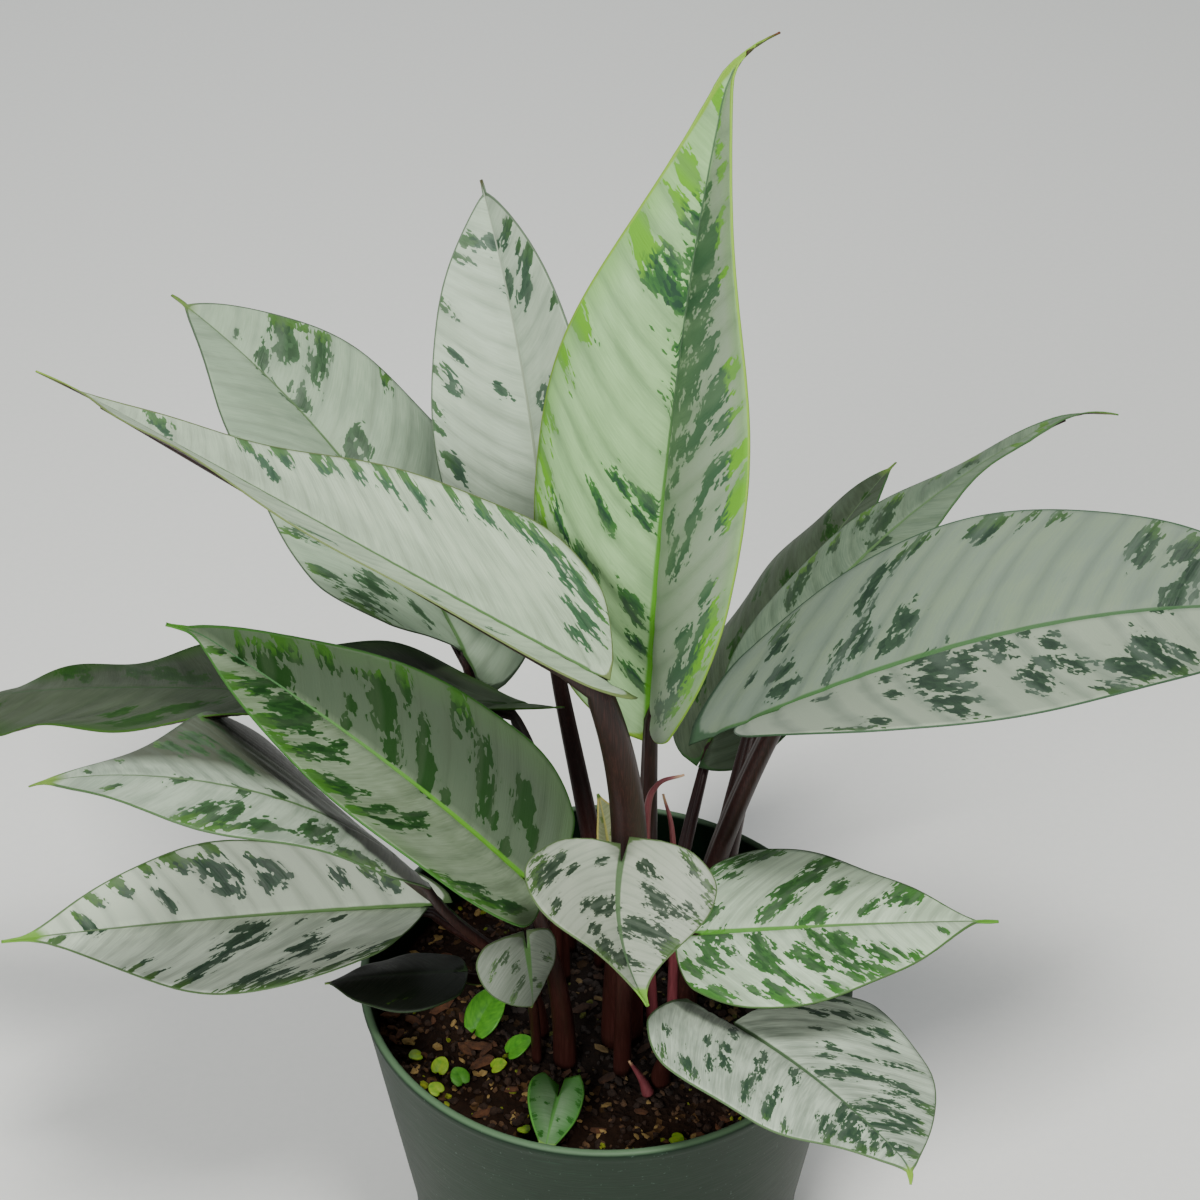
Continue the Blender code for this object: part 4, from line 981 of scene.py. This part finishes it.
def makeStalk(name, cadName, shape, skin):
    run = stalkBuild
    path, t = stalkPath(shape, run["rings"])
    radii = (shape["neck"] + (shape["sheath"] - shape["neck"]) * (1.0 - t) ** run["taper"]) * mm
    # the keel: the stalk runs on under the blade as its midrib
    s = np.linspace(run["keelStart"], run["keelEnd"], run["keelRings"])
    places, _, _, upper = midribFrames(shape, s)
    keelRadii = run["keelShare"] * shape["neck"] * mm * (1.0 - s) ** 0.8 + run["keelLeast"]
    size = min(1.0, shape["length"] / bladeBuild["fullLength"])
    drop = bladeBuild["grooveDepth"] * mm * size * (1.0 - 0.8 * s) + 0.85 * keelRadii + run["keelGap"]
    keel = places - upper * drop[:, None]
    path = np.concatenate([path[:-1], keel])
    radii = np.concatenate([radii[:-1], keelRadii])
    mesh = tubeMesh(name, path, radii, stalkRing)
    return addPiece(name, mesh, [skin], "petiole", cadName)


def stalkSkin(name, low, high, top):
    # Leaf stalk, grown: burgundy pigment in a smooth waxy skin with fine lengthwise ribs, so it
    # shows soft long highlights and thin streaks.
    material, tree, shader = startMaterial(name)
    chart = addNode(tree, "ShaderNodeUVMap", uv_map="stalkMap")
    parts = addNode(tree, "ShaderNodeSeparateXYZ", {0: chart.outputs[0]})
    coords = addNode(tree, "ShaderNodeTexCoord")
    # ribs 0.4 mm apart that run along the stalk
    ribPlace = addNode(
        tree, "ShaderNodeVectorMath",
        {0: coords.outputs["Object"], 1: (2600.0, 2600.0, 90.0)}, operation="MULTIPLY"
    )
    ribs = addNode(tree, "ShaderNodeTexNoise", {"Vector": ribPlace.outputs[0], "Scale": 1.0, "Detail": 2.0})
    patchy = addNode(
        tree, "ShaderNodeTexNoise", {"Vector": coords.outputs["Object"], "Scale": 70.0, "Detail": 3.0}
    )
    rise = addNode(tree, "ShaderNodeMapRange", {0: parts.outputs[1], 1: 0.05, 2: 0.55})
    body = addNode(
        tree, "ShaderNodeMix", {0: rise.outputs[0], 6: low, 7: high}, data_type="RGBA"
    )
    streakMask = addNode(tree, "ShaderNodeMapRange", {0: ribs.outputs[0], 1: 0.45, 2: 0.8, 4: 0.5})
    streaked = addNode(
        tree, "ShaderNodeMix", {0: streakMask.outputs[0], 6: body.outputs[2], 7: top}, data_type="RGBA"
    )
    shadeMask = addNode(tree, "ShaderNodeMapRange", {0: patchy.outputs[0], 1: 0.4, 2: 0.75, 4: 0.45})
    shaded = addNode(
        tree, "ShaderNodeMix",
        {0: shadeMask.outputs[0], 6: streaked.outputs[2], 7: "#1E1210"}, data_type="RGBA",
    )
    tree.links.new(shaded.outputs[2], shader.inputs["Base Color"])
    gloss = addNode(tree, "ShaderNodeMapRange", {0: ribs.outputs[0], 3: 0.34, 4: 0.5})
    tree.links.new(gloss.outputs[0], shader.inputs["Roughness"])
    shader.inputs["Specular IOR Level"].default_value = 0.3
    bump = addNode(
        tree, "ShaderNodeBump", {"Height": ribs.outputs[0], "Strength": 0.25, "Distance": 0.0003}
    )
    tree.links.new(bump.outputs[0], shader.inputs["Normal"])
    return material


stalkColours = dict(low="#3A1C18", high="#1D100E", top="#54302B")

undersideColours = dict(hexDark="#241312", hexLight="#42241F", hexTip="#5A6A34")


def buildLeaves():
    under = bladeUnder("burgundyLeafUnderside", **undersideColours)
    stalk = stalkSkin("waxyLeafStalk", **stalkColours)
    for seed, (name, entry) in enumerate(leafShapes.items()):
        shape = {**outline, **entry}
        cad = shape["node"]
        look = {**plainLook, **leafLooks[name]}
        look["veinRate"] = 2 * math.pi / (look["veinGap"] * shape["length"] / 10)
        skin = bladeUpper(name + "VariegatedLeaf", look, seed)
        makeBlade(name + "Blade", "blade_" + cad, shape, look, skin, under, seed)
        makeStalk(name + "Stalk", "petiole_" + cad, shape, stalk)
    print("leaves built:", len(leafShapes))


# Spears: rolled young leaves and scale leaves at the crown, in mm.
spears = {
    "curvedSpear": dict(node="spear_curved", foot=2.2, tip=0.35,
        knots=[(15, -11, 108), (13, -11, 150), (12, -10, 195), (15, -9, 208), (23, -9, 212)]),
    "straightSpear": dict(node="spear_straight", foot=2.0, tip=0.4,
        knots=[(21, -12, 108), (21, -10, 150), (20, -7, 186), (17, -5, 201)]),
    "budSpear": dict(node="spear_bud", foot=2.6, tip=0.5,
        knots=[(13, -38, 107), (11, -37, 112), (7, -36, 119)]),
}


def smoothPath(knots, perSpan):
    # Catmull-Rom curve through the knots
    p = [np.array(k, float) for k in knots]
    p = [2 * p[0] - p[1]] + p + [2 * p[-1] - p[-2]]
    points = []
    for i in range(1, len(p) - 2):
        for t in np.linspace(0, 1, perSpan, endpoint=False):
            a, b, c, d = p[i - 1 : i + 3]
            squared = 2 * a - 5 * b + 4 * c - d
            cubed = 3 * b - a - 3 * c + d
            points.append(0.5 * (2 * b + (c - a) * t + squared * t**2 + cubed * t**3))
    points.append(p[-2])
    return np.array(points)


def spearSkin(name):
    # Scale leaf, grown: thin pink skin over a pale core, so it glows pink and dries beige at the tip.
    material, tree, shader = startMaterial(name)
    chart = addNode(tree, "ShaderNodeUVMap", uv_map="stalkMap")
    parts = addNode(tree, "ShaderNodeSeparateXYZ", {0: chart.outputs[0]})
    coords = addNode(tree, "ShaderNodeTexCoord")
    place = addNode(
        tree, "ShaderNodeVectorMath",
        {0: coords.outputs["Object"], 1: (1500.0, 1500.0, 120.0)}, operation="MULTIPLY"
    )
    ribs = addNode(tree, "ShaderNodeTexNoise", {"Vector": place.outputs[0], "Scale": 1.0, "Detail": 2.0})
    body = addNode(
        tree, "ShaderNodeMix", {0: ribs.outputs[0], 6: "#5A262C", 7: "#8E4A50"}, data_type="RGBA"
    )
    dry = addNode(
        tree, "ShaderNodeMapRange", {0: parts.outputs[1], 1: 0.88, 2: 0.98}, interpolation_type="SMOOTHSTEP"
    )
    ended = addNode(
        tree, "ShaderNodeMix", {0: dry.outputs[0], 6: body.outputs[2], 7: "#B08E6C"}, data_type="RGBA"
    )
    tree.links.new(ended.outputs[2], shader.inputs["Base Color"])
    shader.inputs["Roughness"].default_value = 0.42
    bump = addNode(tree, "ShaderNodeBump", {"Height": ribs.outputs[0], "Strength": 0.2, "Distance": 0.0002})
    tree.links.new(bump.outputs[0], shader.inputs["Normal"])
    return material


def spearRing(angle, climb):
    # a little flattened
    return math.cos(angle), 0.8 * math.sin(angle)


def buildSpears():
    skin = spearSkin("pinkScaleLeaf")
    for name, spear in spears.items():
        path = smoothPath(spear["knots"], 14) * mm
        radii = np.linspace(spear["foot"], spear["tip"], len(path)) * mm
        mesh = tubeMesh(name, path, radii, spearRing, 16)
        addPiece(name, mesh, [skin], "spear", spear["node"])
    print("spears built:", len(spears))


# Seedlings on the soil, in mm and degrees.
seedlings = {
    "largeSeedling": dict(
        node="seedling_large", at=(-42, -12, 108), azimuth=48, rise=50, length=17, width=12,
    ),
    "darkSeedling": dict(
        node="seedling_dark", at=(-31, -22, 108), azimuth=20, rise=42, length=9, width=7,
    ),
    "smallSeedling": dict(
        node="seedling_small", at=(-45, -34, 107), azimuth=120, rise=35, length=6, width=5,
    ),
}
# Sprouts too small for solids of their own, each one seed leaf.
sprouts = {
    "sproutA": dict(at=(-53, -30, 107.5), azimuth=70, rise=40, length=5.5, width=4.5),
    "sproutB": dict(at=(-52, -38, 107), azimuth=140, rise=30, length=4.5, width=4),
    "sproutC": dict(at=(-36, -28, 107.5), azimuth=10, rise=35, length=5, width=4.5),
    "sproutD": dict(at=(-59, -22, 107), azimuth=200, rise=25, length=4, width=3.5),
    "sproutE": dict(at=(-26, -52, 107), azimuth=300, rise=30, length=3.6, width=3),
    "sproutF": dict(at=(20, -56, 107), azimuth=330, rise=20, length=4.2, width=3.4),
}
seedlingBend = dict(droop=40, swing=0, roll=0, twist=0, fold=8, unfold=0, cup=0.1, tip=0.8)
seedlingLook = {**plainLook, "wave": 0.3, "heelRound": 0.02, "blots": []}


def plainLeafSkin(name, hexLight, hexDark, roughness):
    # Thin seedling leaf, grown: one fresh green, mottled over 2 mm, with a soft wax gloss.
    material, tree, shader = startMaterial(name)
    metric = addNode(tree, "ShaderNodeUVMap", uv_map="bladeCentimetres")
    mottle = addNode(tree, "ShaderNodeTexNoise", {"Vector": metric.outputs[0], "Scale": 5.0, "Detail": 4.0})
    mask = addNode(tree, "ShaderNodeMapRange", {0: mottle.outputs[0], 1: 0.35, 2: 0.7})
    skin = addNode(
        tree, "ShaderNodeMix", {0: mask.outputs[0], 6: hexLight, 7: hexDark}, data_type="RGBA"
    )
    tree.links.new(skin.outputs[2], shader.inputs["Base Color"])
    shader.inputs["Roughness"].default_value = roughness
    bump = addNode(
        tree, "ShaderNodeBump", {"Height": mottle.outputs[0], "Strength": 0.3, "Distance": 0.0003}
    )
    tree.links.new(bump.outputs[0], shader.inputs["Normal"])
    return material


def buildSeedlings():
    bright = plainLeafSkin("seedlingLeaf", "#5FAE2C", "#3F8A22", 0.45)
    for seed, (name, entry) in enumerate(seedlings.items()):
        shape = {**outline, **seedlingBend, **entry}
        makeBlade(name, shape["node"], shape, seedlingLook, bright, bright, seed)
    print("seedlings built:", len(seedlings))
    paler = plainLeafSkin("sproutLeaf", "#A8C62E", "#6FA824", 0.5)
    for seed, (name, entry) in enumerate(sprouts.items()):
        shape = {**outline, **seedlingBend, **entry}
        makeBlade(name, None, shape, seedlingLook, paler, paler, seed)
    print("sprouts built:", len(sprouts))


def soilPoint(radius, angle):
    # mm; lumps 8 and 3 mm wide roughen the crowned top
    x = radius * math.cos(angle)
    y = radius * math.sin(angle)
    lump = noise.noise(Vector((x / 8, y / 8, 0.3))) + 0.5 * noise.noise(Vector((x / 3, y / 3, 4.1)))
    return x, y, soilHeight(radius) + soilBuild["lump"] * lump


def soilEdge():
    # inner radius of the pot at the soil's top, mm
    return innerRadius(soilBuild["top"]) - soilBuild["wallGap"]


def canopyShadeShare(tree, coords):
    # painted shade: how much darker the mix is made under the leaves, most among the stalks, none near the
    # front of the rim
    away = addNode(
        tree, "ShaderNodeVectorMath", {0: coords.outputs["Object"], 1: soilBuild["canopyShadeMiddle"]},
        operation="DISTANCE",
    )
    canopyShade = addNode(tree, "ShaderNodeMapRange", {0: away.outputs["Value"], 1: 0.066, 2: 0.046, 4: 0.8})
    return canopyShade.outputs[0]


def soilSkin(name):
    # Potting mix, peat and bark milled and watered in: dark crumbs 1 to 3 mm across that stay
    # matt, with painted shade making it darker among the stalks.
    material, tree, shader = startMaterial(name)
    coords = addNode(tree, "ShaderNodeTexCoord")
    crumbs = addNode(tree, "ShaderNodeTexVoronoi", {"Vector": coords.outputs["Object"], "Scale": 420.0})
    grain = addNode(
        tree, "ShaderNodeTexNoise",
        {"Vector": coords.outputs["Object"], "Scale": 260.0, "Detail": 8.0, "Roughness": 0.7},
    )
    body = addNode(
        tree, "ShaderNodeMix", {0: grain.outputs[0], 6: "#110A07", 7: "#3E2A1D"}, data_type="RGBA"
    )
    chip = addNode(tree, "ShaderNodeMapRange", {0: crumbs.outputs[1], 1: 0.8, 2: 0.86})
    mixed = addNode(
        tree, "ShaderNodeMix", {0: chip.outputs[0], 6: body.outputs[2], 7: "#6A4E30"}, data_type="RGBA"
    )
    # painted shade under the leaves, darkest among the stalks
    canopyShaded = addNode(
        tree, "ShaderNodeMix",
        {0: canopyShadeShare(tree, coords), 6: mixed.outputs[2], 7: "#0B0705"}, data_type="RGBA"
    )
    tree.links.new(canopyShaded.outputs[2], shader.inputs["Base Color"])
    shader.inputs["Roughness"].default_value = 0.95
    shader.inputs["Specular IOR Level"].default_value = 0.2
    heights = addNode(tree, "ShaderNodeMath", {0: crumbs.outputs[0], 1: grain.outputs[0]}, operation="ADD")
    bump = addNode(
        tree, "ShaderNodeBump", {"Height": heights.outputs[0], "Strength": 0.9, "Distance": 0.0015}
    )
    tree.links.new(bump.outputs[0], shader.inputs["Normal"])
    return material


def bitSkin(name, hexDark, hexLight, roughness):
    # Loose bits in the mix: bark, pale husk, moss; each broken or grown rough, so matt and mottled, and
    # darkened among the stalks by painted shade.
    material, tree, shader = startMaterial(name)
    coords = addNode(tree, "ShaderNodeTexCoord")
    mottle = addNode(
        tree, "ShaderNodeTexNoise",
        {"Vector": coords.outputs["Object"], "Scale": 380.0, "Detail": 5.0, "Roughness": 0.7}
    )
    mask = addNode(tree, "ShaderNodeMapRange", {0: mottle.outputs[0], 1: 0.3, 2: 0.7})
    body = addNode(
        tree, "ShaderNodeMix", {0: mask.outputs[0], 6: hexDark, 7: hexLight}, data_type="RGBA"
    )
    # painted shade under the leaves, darkest among the stalks
    canopyShaded = addNode(
        tree, "ShaderNodeMix",
        {0: canopyShadeShare(tree, coords), 6: body.outputs[2], 7: "#100B08"}, data_type="RGBA"
    )
    tree.links.new(canopyShaded.outputs[2], shader.inputs["Base Color"])
    shader.inputs["Roughness"].default_value = roughness
    bump = addNode(
        tree, "ShaderNodeBump", {"Height": mottle.outputs[0], "Strength": 0.6, "Distance": 0.0006}
    )
    tree.links.new(bump.outputs[0], shader.inputs["Normal"])
    return material


bitKinds = {
    # what it is, count, size range in mm, stretch and flatness, colours
    "darkCrumbs": dict(
        finish="milledPeat", count=1500, low=0.9, high=3.2, stretch=1.3, flat=0.8,
        dark="#1C120C", light="#4A3426",
    ),
    "brownCrumbs": dict(
        finish="agedBark", count=700, low=0.8, high=2.4, stretch=1.4, flat=0.8,
        dark="#4A3222", light="#7A5A3C",
    ),
    "barkChips": dict(
        finish="brokenBark", count=150, low=2.0, high=5.4, stretch=2.0, flat=0.4,
        dark="#3A2418", light="#7A4E30",
    ),
    "paleHusk": dict(
        finish="driedHusk", count=230, low=0.9, high=3.4, stretch=1.8, flat=0.5,
        dark="#8A6C3A", light="#C8A868",
    ),
    "mossTufts": dict(
        finish="livingMoss", count=190, low=0.8, high=3.0, stretch=1.2, flat=0.7,
        dark="#5C7414", light="#A8AE2C",
    ),
}


def scatterBits(name, kind, seed):
    # rough little stones of one kind, strewn on the soil's top
    rng = random.Random(seed)
    golden = (1 + 5**0.5) / 2
    corners = []
    for a, b in ((1, golden), (-1, golden), (1, -golden), (-1, -golden)):
        corners += [(0, a, b), (a, b, 0), (b, 0, a)]
    corners = [Vector(c).normalized() for c in corners]
    hullFaces = []
    for i in range(12):
        for j in range(i + 1, 12):
            for k in range(j + 1, 12):
                near = all((corners[p] - corners[q]).length < 1.1 for p, q in ((i, j), (j, k), (i, k)))
                if near:
                    middle = corners[i] + corners[j] + corners[k]
                    turn = (corners[j] - corners[i]).cross(corners[k] - corners[i])
                    hullFaces.append((i, j, k) if turn.dot(middle) > 0 else (i, k, j))
    verts = []
    faces = []
    limit = soilEdge() - soilBuild["bitMargin"]
    for _ in range(kind["count"]):
        radius = limit * math.sqrt(rng.random())
        x, y, z = soilPoint(radius, rng.uniform(0, math.tau))
        size = rng.uniform(kind["low"], kind["high"]) * rng.uniform(0.6, 1.0) * 0.5
        turn = rng.uniform(0, math.tau)
        tilt = rng.uniform(-0.5, 0.5)
        base = len(verts)
        for c in corners:
            rough = rng.uniform(0.7, 1.25)
            px = c.x * size * kind["stretch"] * rough
            py = c.y * size * rough
            pz = c.z * size * kind["flat"] * rough
            qx = px * math.cos(turn) - py * math.sin(turn)
            qy = px * math.sin(turn) + py * math.cos(turn)
            verts.append(((x + qx) * mm, (y + qy) * mm, (z + 0.35 * size + pz + tilt * qx) * mm))
        faces += [(base + a, base + b, base + c) for a, b, c in hullFaces]
    mesh = bpy.data.meshes.new(name)
    mesh.from_pydata(verts, [], faces)
    return addPiece(name, mesh, [bitSkin(kind["finish"], kind["dark"], kind["light"], 0.9)], "potting_mix")


def buildSoil():
    edge = soilEdge()
    rings, spokes = soilBuild["rings"], soilBuild["spokes"]
    verts = [tuple(v * mm for v in soilPoint(0.0, 0.0))]
    for i in range(1, rings + 1):
        for j in range(spokes):
            verts.append(tuple(v * mm for v in soilPoint(edge * i / rings, math.tau * j / spokes)))
    lowRadius = potBuild["footRadius"] - potBuild["wall"] - soilBuild["lowInset"]
    low = (potBuild["floorLift"] + potBuild["wall"] + soilBuild["lowLift"]) * mm
    for j in range(spokes):
        angle = math.tau * j / spokes
        verts.append((lowRadius * mm * math.cos(angle), lowRadius * mm * math.sin(angle), low))
    faces = [(0, 1 + j, 1 + (j + 1) % spokes) for j in range(spokes)]
    for i in range(rings):
        for j in range(spokes):
            a, b = 1 + i * spokes + j, 1 + i * spokes + (j + 1) % spokes
            faces.append((a, a + spokes, b + spokes, b))
    faces.append(tuple(1 + rings * spokes + j for j in reversed(range(spokes))))
    mesh = bpy.data.meshes.new("pottingMix")
    mesh.from_pydata(verts, [], faces)
    mesh.shade_smooth()
    addPiece("pottingMix", mesh, [soilSkin("peatAndBark")], "potting_mix", "soil")
    for number, (name, kind) in enumerate(bitKinds.items()):
        scatterBits(name, kind, soilBuild["seed"] + number)
    print("soil built")


def innerRadius(height):
    # mm; the wall widens faster above the bend than below it
    p = potBuild
    heights = (p["floorLift"], p["bendHeight"], p["height"])
    return float(np.interp(height, heights, (p["footRadius"], p["bendRadius"], p["rimRadius"]))) - p["wall"]


def potProfile():
    # half section in mm: inside floor, up the inside, over the rim, down the outside
    p = potBuild
    floorTop = p["floorLift"] + p["wall"]
    bead = p["bead"]
    roll = p["rollWidth"]
    beadFoot = p["height"] - 3.6 * bead
    inside = [
        (0, floorTop),
        (innerRadius(floorTop) - 3, floorTop),
        (innerRadius(floorTop + 3), floorTop + 3),
        (innerRadius(p["bendHeight"] - 2), p["bendHeight"] - 2),
        (innerRadius(p["bendHeight"] + 3), p["bendHeight"] + 3),
        (innerRadius(beadFoot), beadFoot),
        (p["rimRadius"] - p["wall"] - bead, p["height"] - bead),
    ]
    # the rolled rim is a half turn that starts at the last point inside
    rolled = [
        (p["rimRadius"] - roll + roll * math.cos(a), p["height"] - bead + bead * math.sin(a))
        for a in np.radians([150, 120, 90, 60, 30, 0])
    ]
    outside = [
        (p["rimRadius"] - 0.6, p["height"] - 2.6 * bead),
        (p["rimRadius"] - 0.9, beadFoot),
        (innerRadius(p["bendHeight"] + 4) + p["wall"], p["bendHeight"] + 4),
        (p["bendRadius"] + 0.2, p["bendHeight"] + 1.5),
        (p["bendRadius"], p["bendHeight"] - 1),
        (p["footRadius"], p["footRound"]),
        (p["footRadius"] - p["footRound"], 0),
        (p["footRadius"] - p["footRing"], 0),
        (p["footRadius"] - p["footRing"] - p["footSlope"], p["floorLift"]),
        (p["padRadius"] + p["footSlope"], p["floorLift"]),
        (p["padRadius"], 0),
        (0, 0),
    ]
    return inside + rolled + outside


def potSkin(name):
    # Polypropylene, injection moulded: a satin green skin with faint flow mottling, fine
    # scuffs round the pot, and a painted highlight along the top of the rim.
    material, tree, shader = startMaterial(name)
    coords = addNode(tree, "ShaderNodeTexCoord")
    parts = addNode(tree, "ShaderNodeSeparateXYZ", {0: coords.outputs["Object"]})
    mottle = addNode(
        tree, "ShaderNodeTexNoise",
        {"Vector": coords.outputs["Object"], "Scale": 55.0, "Detail": 5.0, "Roughness": 0.6}
    )
    body = addNode(
        tree, "ShaderNodeMix", {0: mottle.outputs[0], 6: "#0A1E10", 7: "#132B19"}, data_type="RGBA"
    )
    # scuffs 0.5 mm tall and 8 mm long
    scuffPlace = addNode(
        tree, "ShaderNodeVectorMath",
        {0: coords.outputs["Object"], 1: (110.0, 110.0, 1500.0)}, operation="MULTIPLY"
    )
    scuffs = addNode(
        tree, "ShaderNodeTexNoise", {"Vector": scuffPlace.outputs[0], "Scale": 1.0, "Detail": 4.0}
    )
    scuffMask = addNode(tree, "ShaderNodeMapRange", {0: scuffs.outputs[0], 1: 0.62, 2: 0.75, 4: 0.35})
    scuffed = addNode(
        tree, "ShaderNodeMix", {0: scuffMask.outputs[0], 6: body.outputs[2], 7: "#33503F"}, data_type="RGBA"
    )
    # dust specks 0.6 mm across
    dust = addNode(
        tree, "ShaderNodeTexNoise", {"Vector": coords.outputs["Object"], "Scale": 900.0, "Detail": 1.0}
    )
    dustMask = addNode(tree, "ShaderNodeMapRange", {0: dust.outputs[0], 1: 0.72, 2: 0.76, 4: 0.5})
    dusty = addNode(
        tree, "ShaderNodeMix",
        {0: dustMask.outputs[0], 6: scuffed.outputs[2], 7: "#4A5E52"}, data_type="RGBA"
    )
    # painted highlight: the top edge of the rim made paler, as where light catches it
    rim = addNode(
        tree, "ShaderNodeMapRange",
        {0: parts.outputs[2], 1: 0.1240, 2: 0.1249, 4: 0.75}, interpolation_type="SMOOTHSTEP",
    )
    rimHighlit = addNode(
        tree, "ShaderNodeMix", {0: rim.outputs[0], 6: dusty.outputs[2], 7: "#5E7A5C"}, data_type="RGBA"
    )
    tree.links.new(rimHighlit.outputs[2], shader.inputs["Base Color"])
    gloss = addNode(tree, "ShaderNodeMapRange", {0: scuffs.outputs[0], 3: 0.42, 4: 0.60})
    tree.links.new(gloss.outputs[0], shader.inputs["Roughness"])
    shader.inputs["IOR"].default_value = 1.49
    shader.inputs["Specular IOR Level"].default_value = 0.2  # scuffed dull
    heights = addNode(
        tree, "ShaderNodeMath",
        {0: mottle.outputs[0], 1: 0.3, 2: scuffs.outputs[0]}, operation="MULTIPLY_ADD"
    )
    bump = addNode(
        tree, "ShaderNodeBump", {"Height": heights.outputs[0], "Strength": 0.15, "Distance": 0.0003}
    )
    tree.links.new(bump.outputs[0], shader.inputs["Normal"])
    return material


def buildPot():
    profile = [(r * mm, 0.0, z * mm) for r, z in potProfile()]
    mesh = bpy.data.meshes.new("nurseryPot")
    mesh.from_pydata(profile, [(i, i + 1) for i in range(len(profile) - 1)], [])
    pot = addPiece("nurseryPot", mesh, [potSkin("mouldedPolypropylene")], "pot_plastic", "pot")
    turn = pot.modifiers.new("turn", "SCREW")
    turn.axis = "Z"
    turn.angle = math.tau
    turn.steps = potBuild["turnSteps"]
    turn.render_steps = potBuild["turnSteps"]
    turn.use_merge_vertices = True
    turn.merge_threshold = 0.00001
    turned = bpy.data.meshes.new_from_object(pot.evaluated_get(bpy.context.evaluated_depsgraph_get()))
    pot.modifiers.clear()
    pot.data = turned
    # drain holes, each cut by a round plug that is then removed
    cutter = bmesh.new()
    for n in range(potBuild["drainCount"]):
        turn = Matrix.Rotation(math.tau * n / potBuild["drainCount"], 4, "Z")
        centre = turn @ Matrix.Translation((potBuild["drainRing"] * mm, 0, potBuild["floorLift"] * mm))
        bmesh.ops.create_cone(
            cutter, cap_ends=True, segments=28, radius1=potBuild["drainRadius"] * mm,
            radius2=potBuild["drainRadius"] * mm, depth=0.012, matrix=centre,
        )
    plugMesh = bpy.data.meshes.new("drainPlugs")
    cutter.to_mesh(plugMesh)
    cutter.free()
    plugs = bpy.data.objects.new("drainPlugs", plugMesh)
    bpy.context.scene.collection.objects.link(plugs)
    bore = pot.modifiers.new("drains", "BOOLEAN")
    bore.operation = "DIFFERENCE"
    bore.solver = "EXACT"
    bore.object = plugs
    bored = bpy.data.meshes.new_from_object(pot.evaluated_get(bpy.context.evaluated_depsgraph_get()))
    pot.modifiers.clear()
    pot.data = bored
    bpy.data.objects.remove(plugs)
    bored.shade_smooth()
    bored.set_sharp_from_angle(angle=math.radians(38))
    print("pot built")


# Floor, soft lights and camera.
stage = dict(floor="#ECECE8", floorSize=60.0, sky="#EEF2F4", skyStrength=0.30)
softBoxes = {
    # place in m, size in m, watts, colour
    "keyBox": dict(place=(0.22, -0.48, 1.55), size=0.32, watts=21, colour="#FFFEFA"),
    "frontBox": dict(place=(-0.50, -1.10, 0.95), size=0.50, watts=14, colour="#FFFEFA"),
    "backBox": dict(place=(-0.3, 1.3, 1.6), size=1.4, watts=13, colour="#F8FCFF"),
}
view = dict(place=(-0.002, -0.554, 0.672), pitch=36, lens=72)


def buildStage():
    mesh = bpy.data.meshes.new("paleFloor")
    h = stage["floorSize"] / 2
    mesh.from_pydata([(-h, -h, 0), (h, -h, 0), (h, h, 0), (-h, h, 0)], [], [(0, 1, 2, 3)])
    material, tree, shader = startMaterial("paleCard")
    coords = addNode(tree, "ShaderNodeTexCoord")
    tooth = addNode(tree, "ShaderNodeTexNoise", {"Vector": coords.outputs["Object"], "Scale": 300.0})
    tint = addNode(
        tree, "ShaderNodeMix", {0: tooth.outputs[0], 6: stage["floor"], 7: "#E6E7E3"}, data_type="RGBA"
    )
    tree.links.new(tint.outputs[2], shader.inputs["Base Color"])
    shader.inputs["Roughness"].default_value = 0.9
    mesh.materials.append(material)
    floor = bpy.data.objects.new("paleFloor", mesh)
    bpy.context.scene.collection.objects.link(floor)
    world = bpy.data.worlds.new("softRoom")
    world.use_nodes = True
    sky = world.node_tree.nodes["Background"]
    sky.inputs[0].default_value = linearColour(stage["sky"])
    sky.inputs[1].default_value = stage["skyStrength"]
    bpy.context.scene.world = world
    target = Vector((0, 0, 0.2))
    for name, box in softBoxes.items():
        lamp = bpy.data.lights.new(name, "AREA")
        lamp.size = box["size"]
        lamp.energy = box["watts"]
        lamp.color = linearColour(box["colour"])[:3]
        item = bpy.data.objects.new(name, lamp)
        item.location = box["place"]
        item.rotation_euler = (target - Vector(box["place"])).to_track_quat("-Z", "Y").to_euler()
        bpy.context.scene.collection.objects.link(item)
    lens = bpy.data.cameras.new("view")
    lens.lens = view["lens"]
    lens.sensor_width = 36
    camera = bpy.data.objects.new("view", lens)
    camera.location = view["place"]
    camera.rotation_euler = (math.radians(90 - view["pitch"]), 0, 0)
    bpy.context.scene.collection.objects.link(camera)
    bpy.context.scene.camera = camera
    print("stage built")


buildPot()
buildSoil()
buildLeaves()
buildSpears()
buildSeedlings()
buildStage()
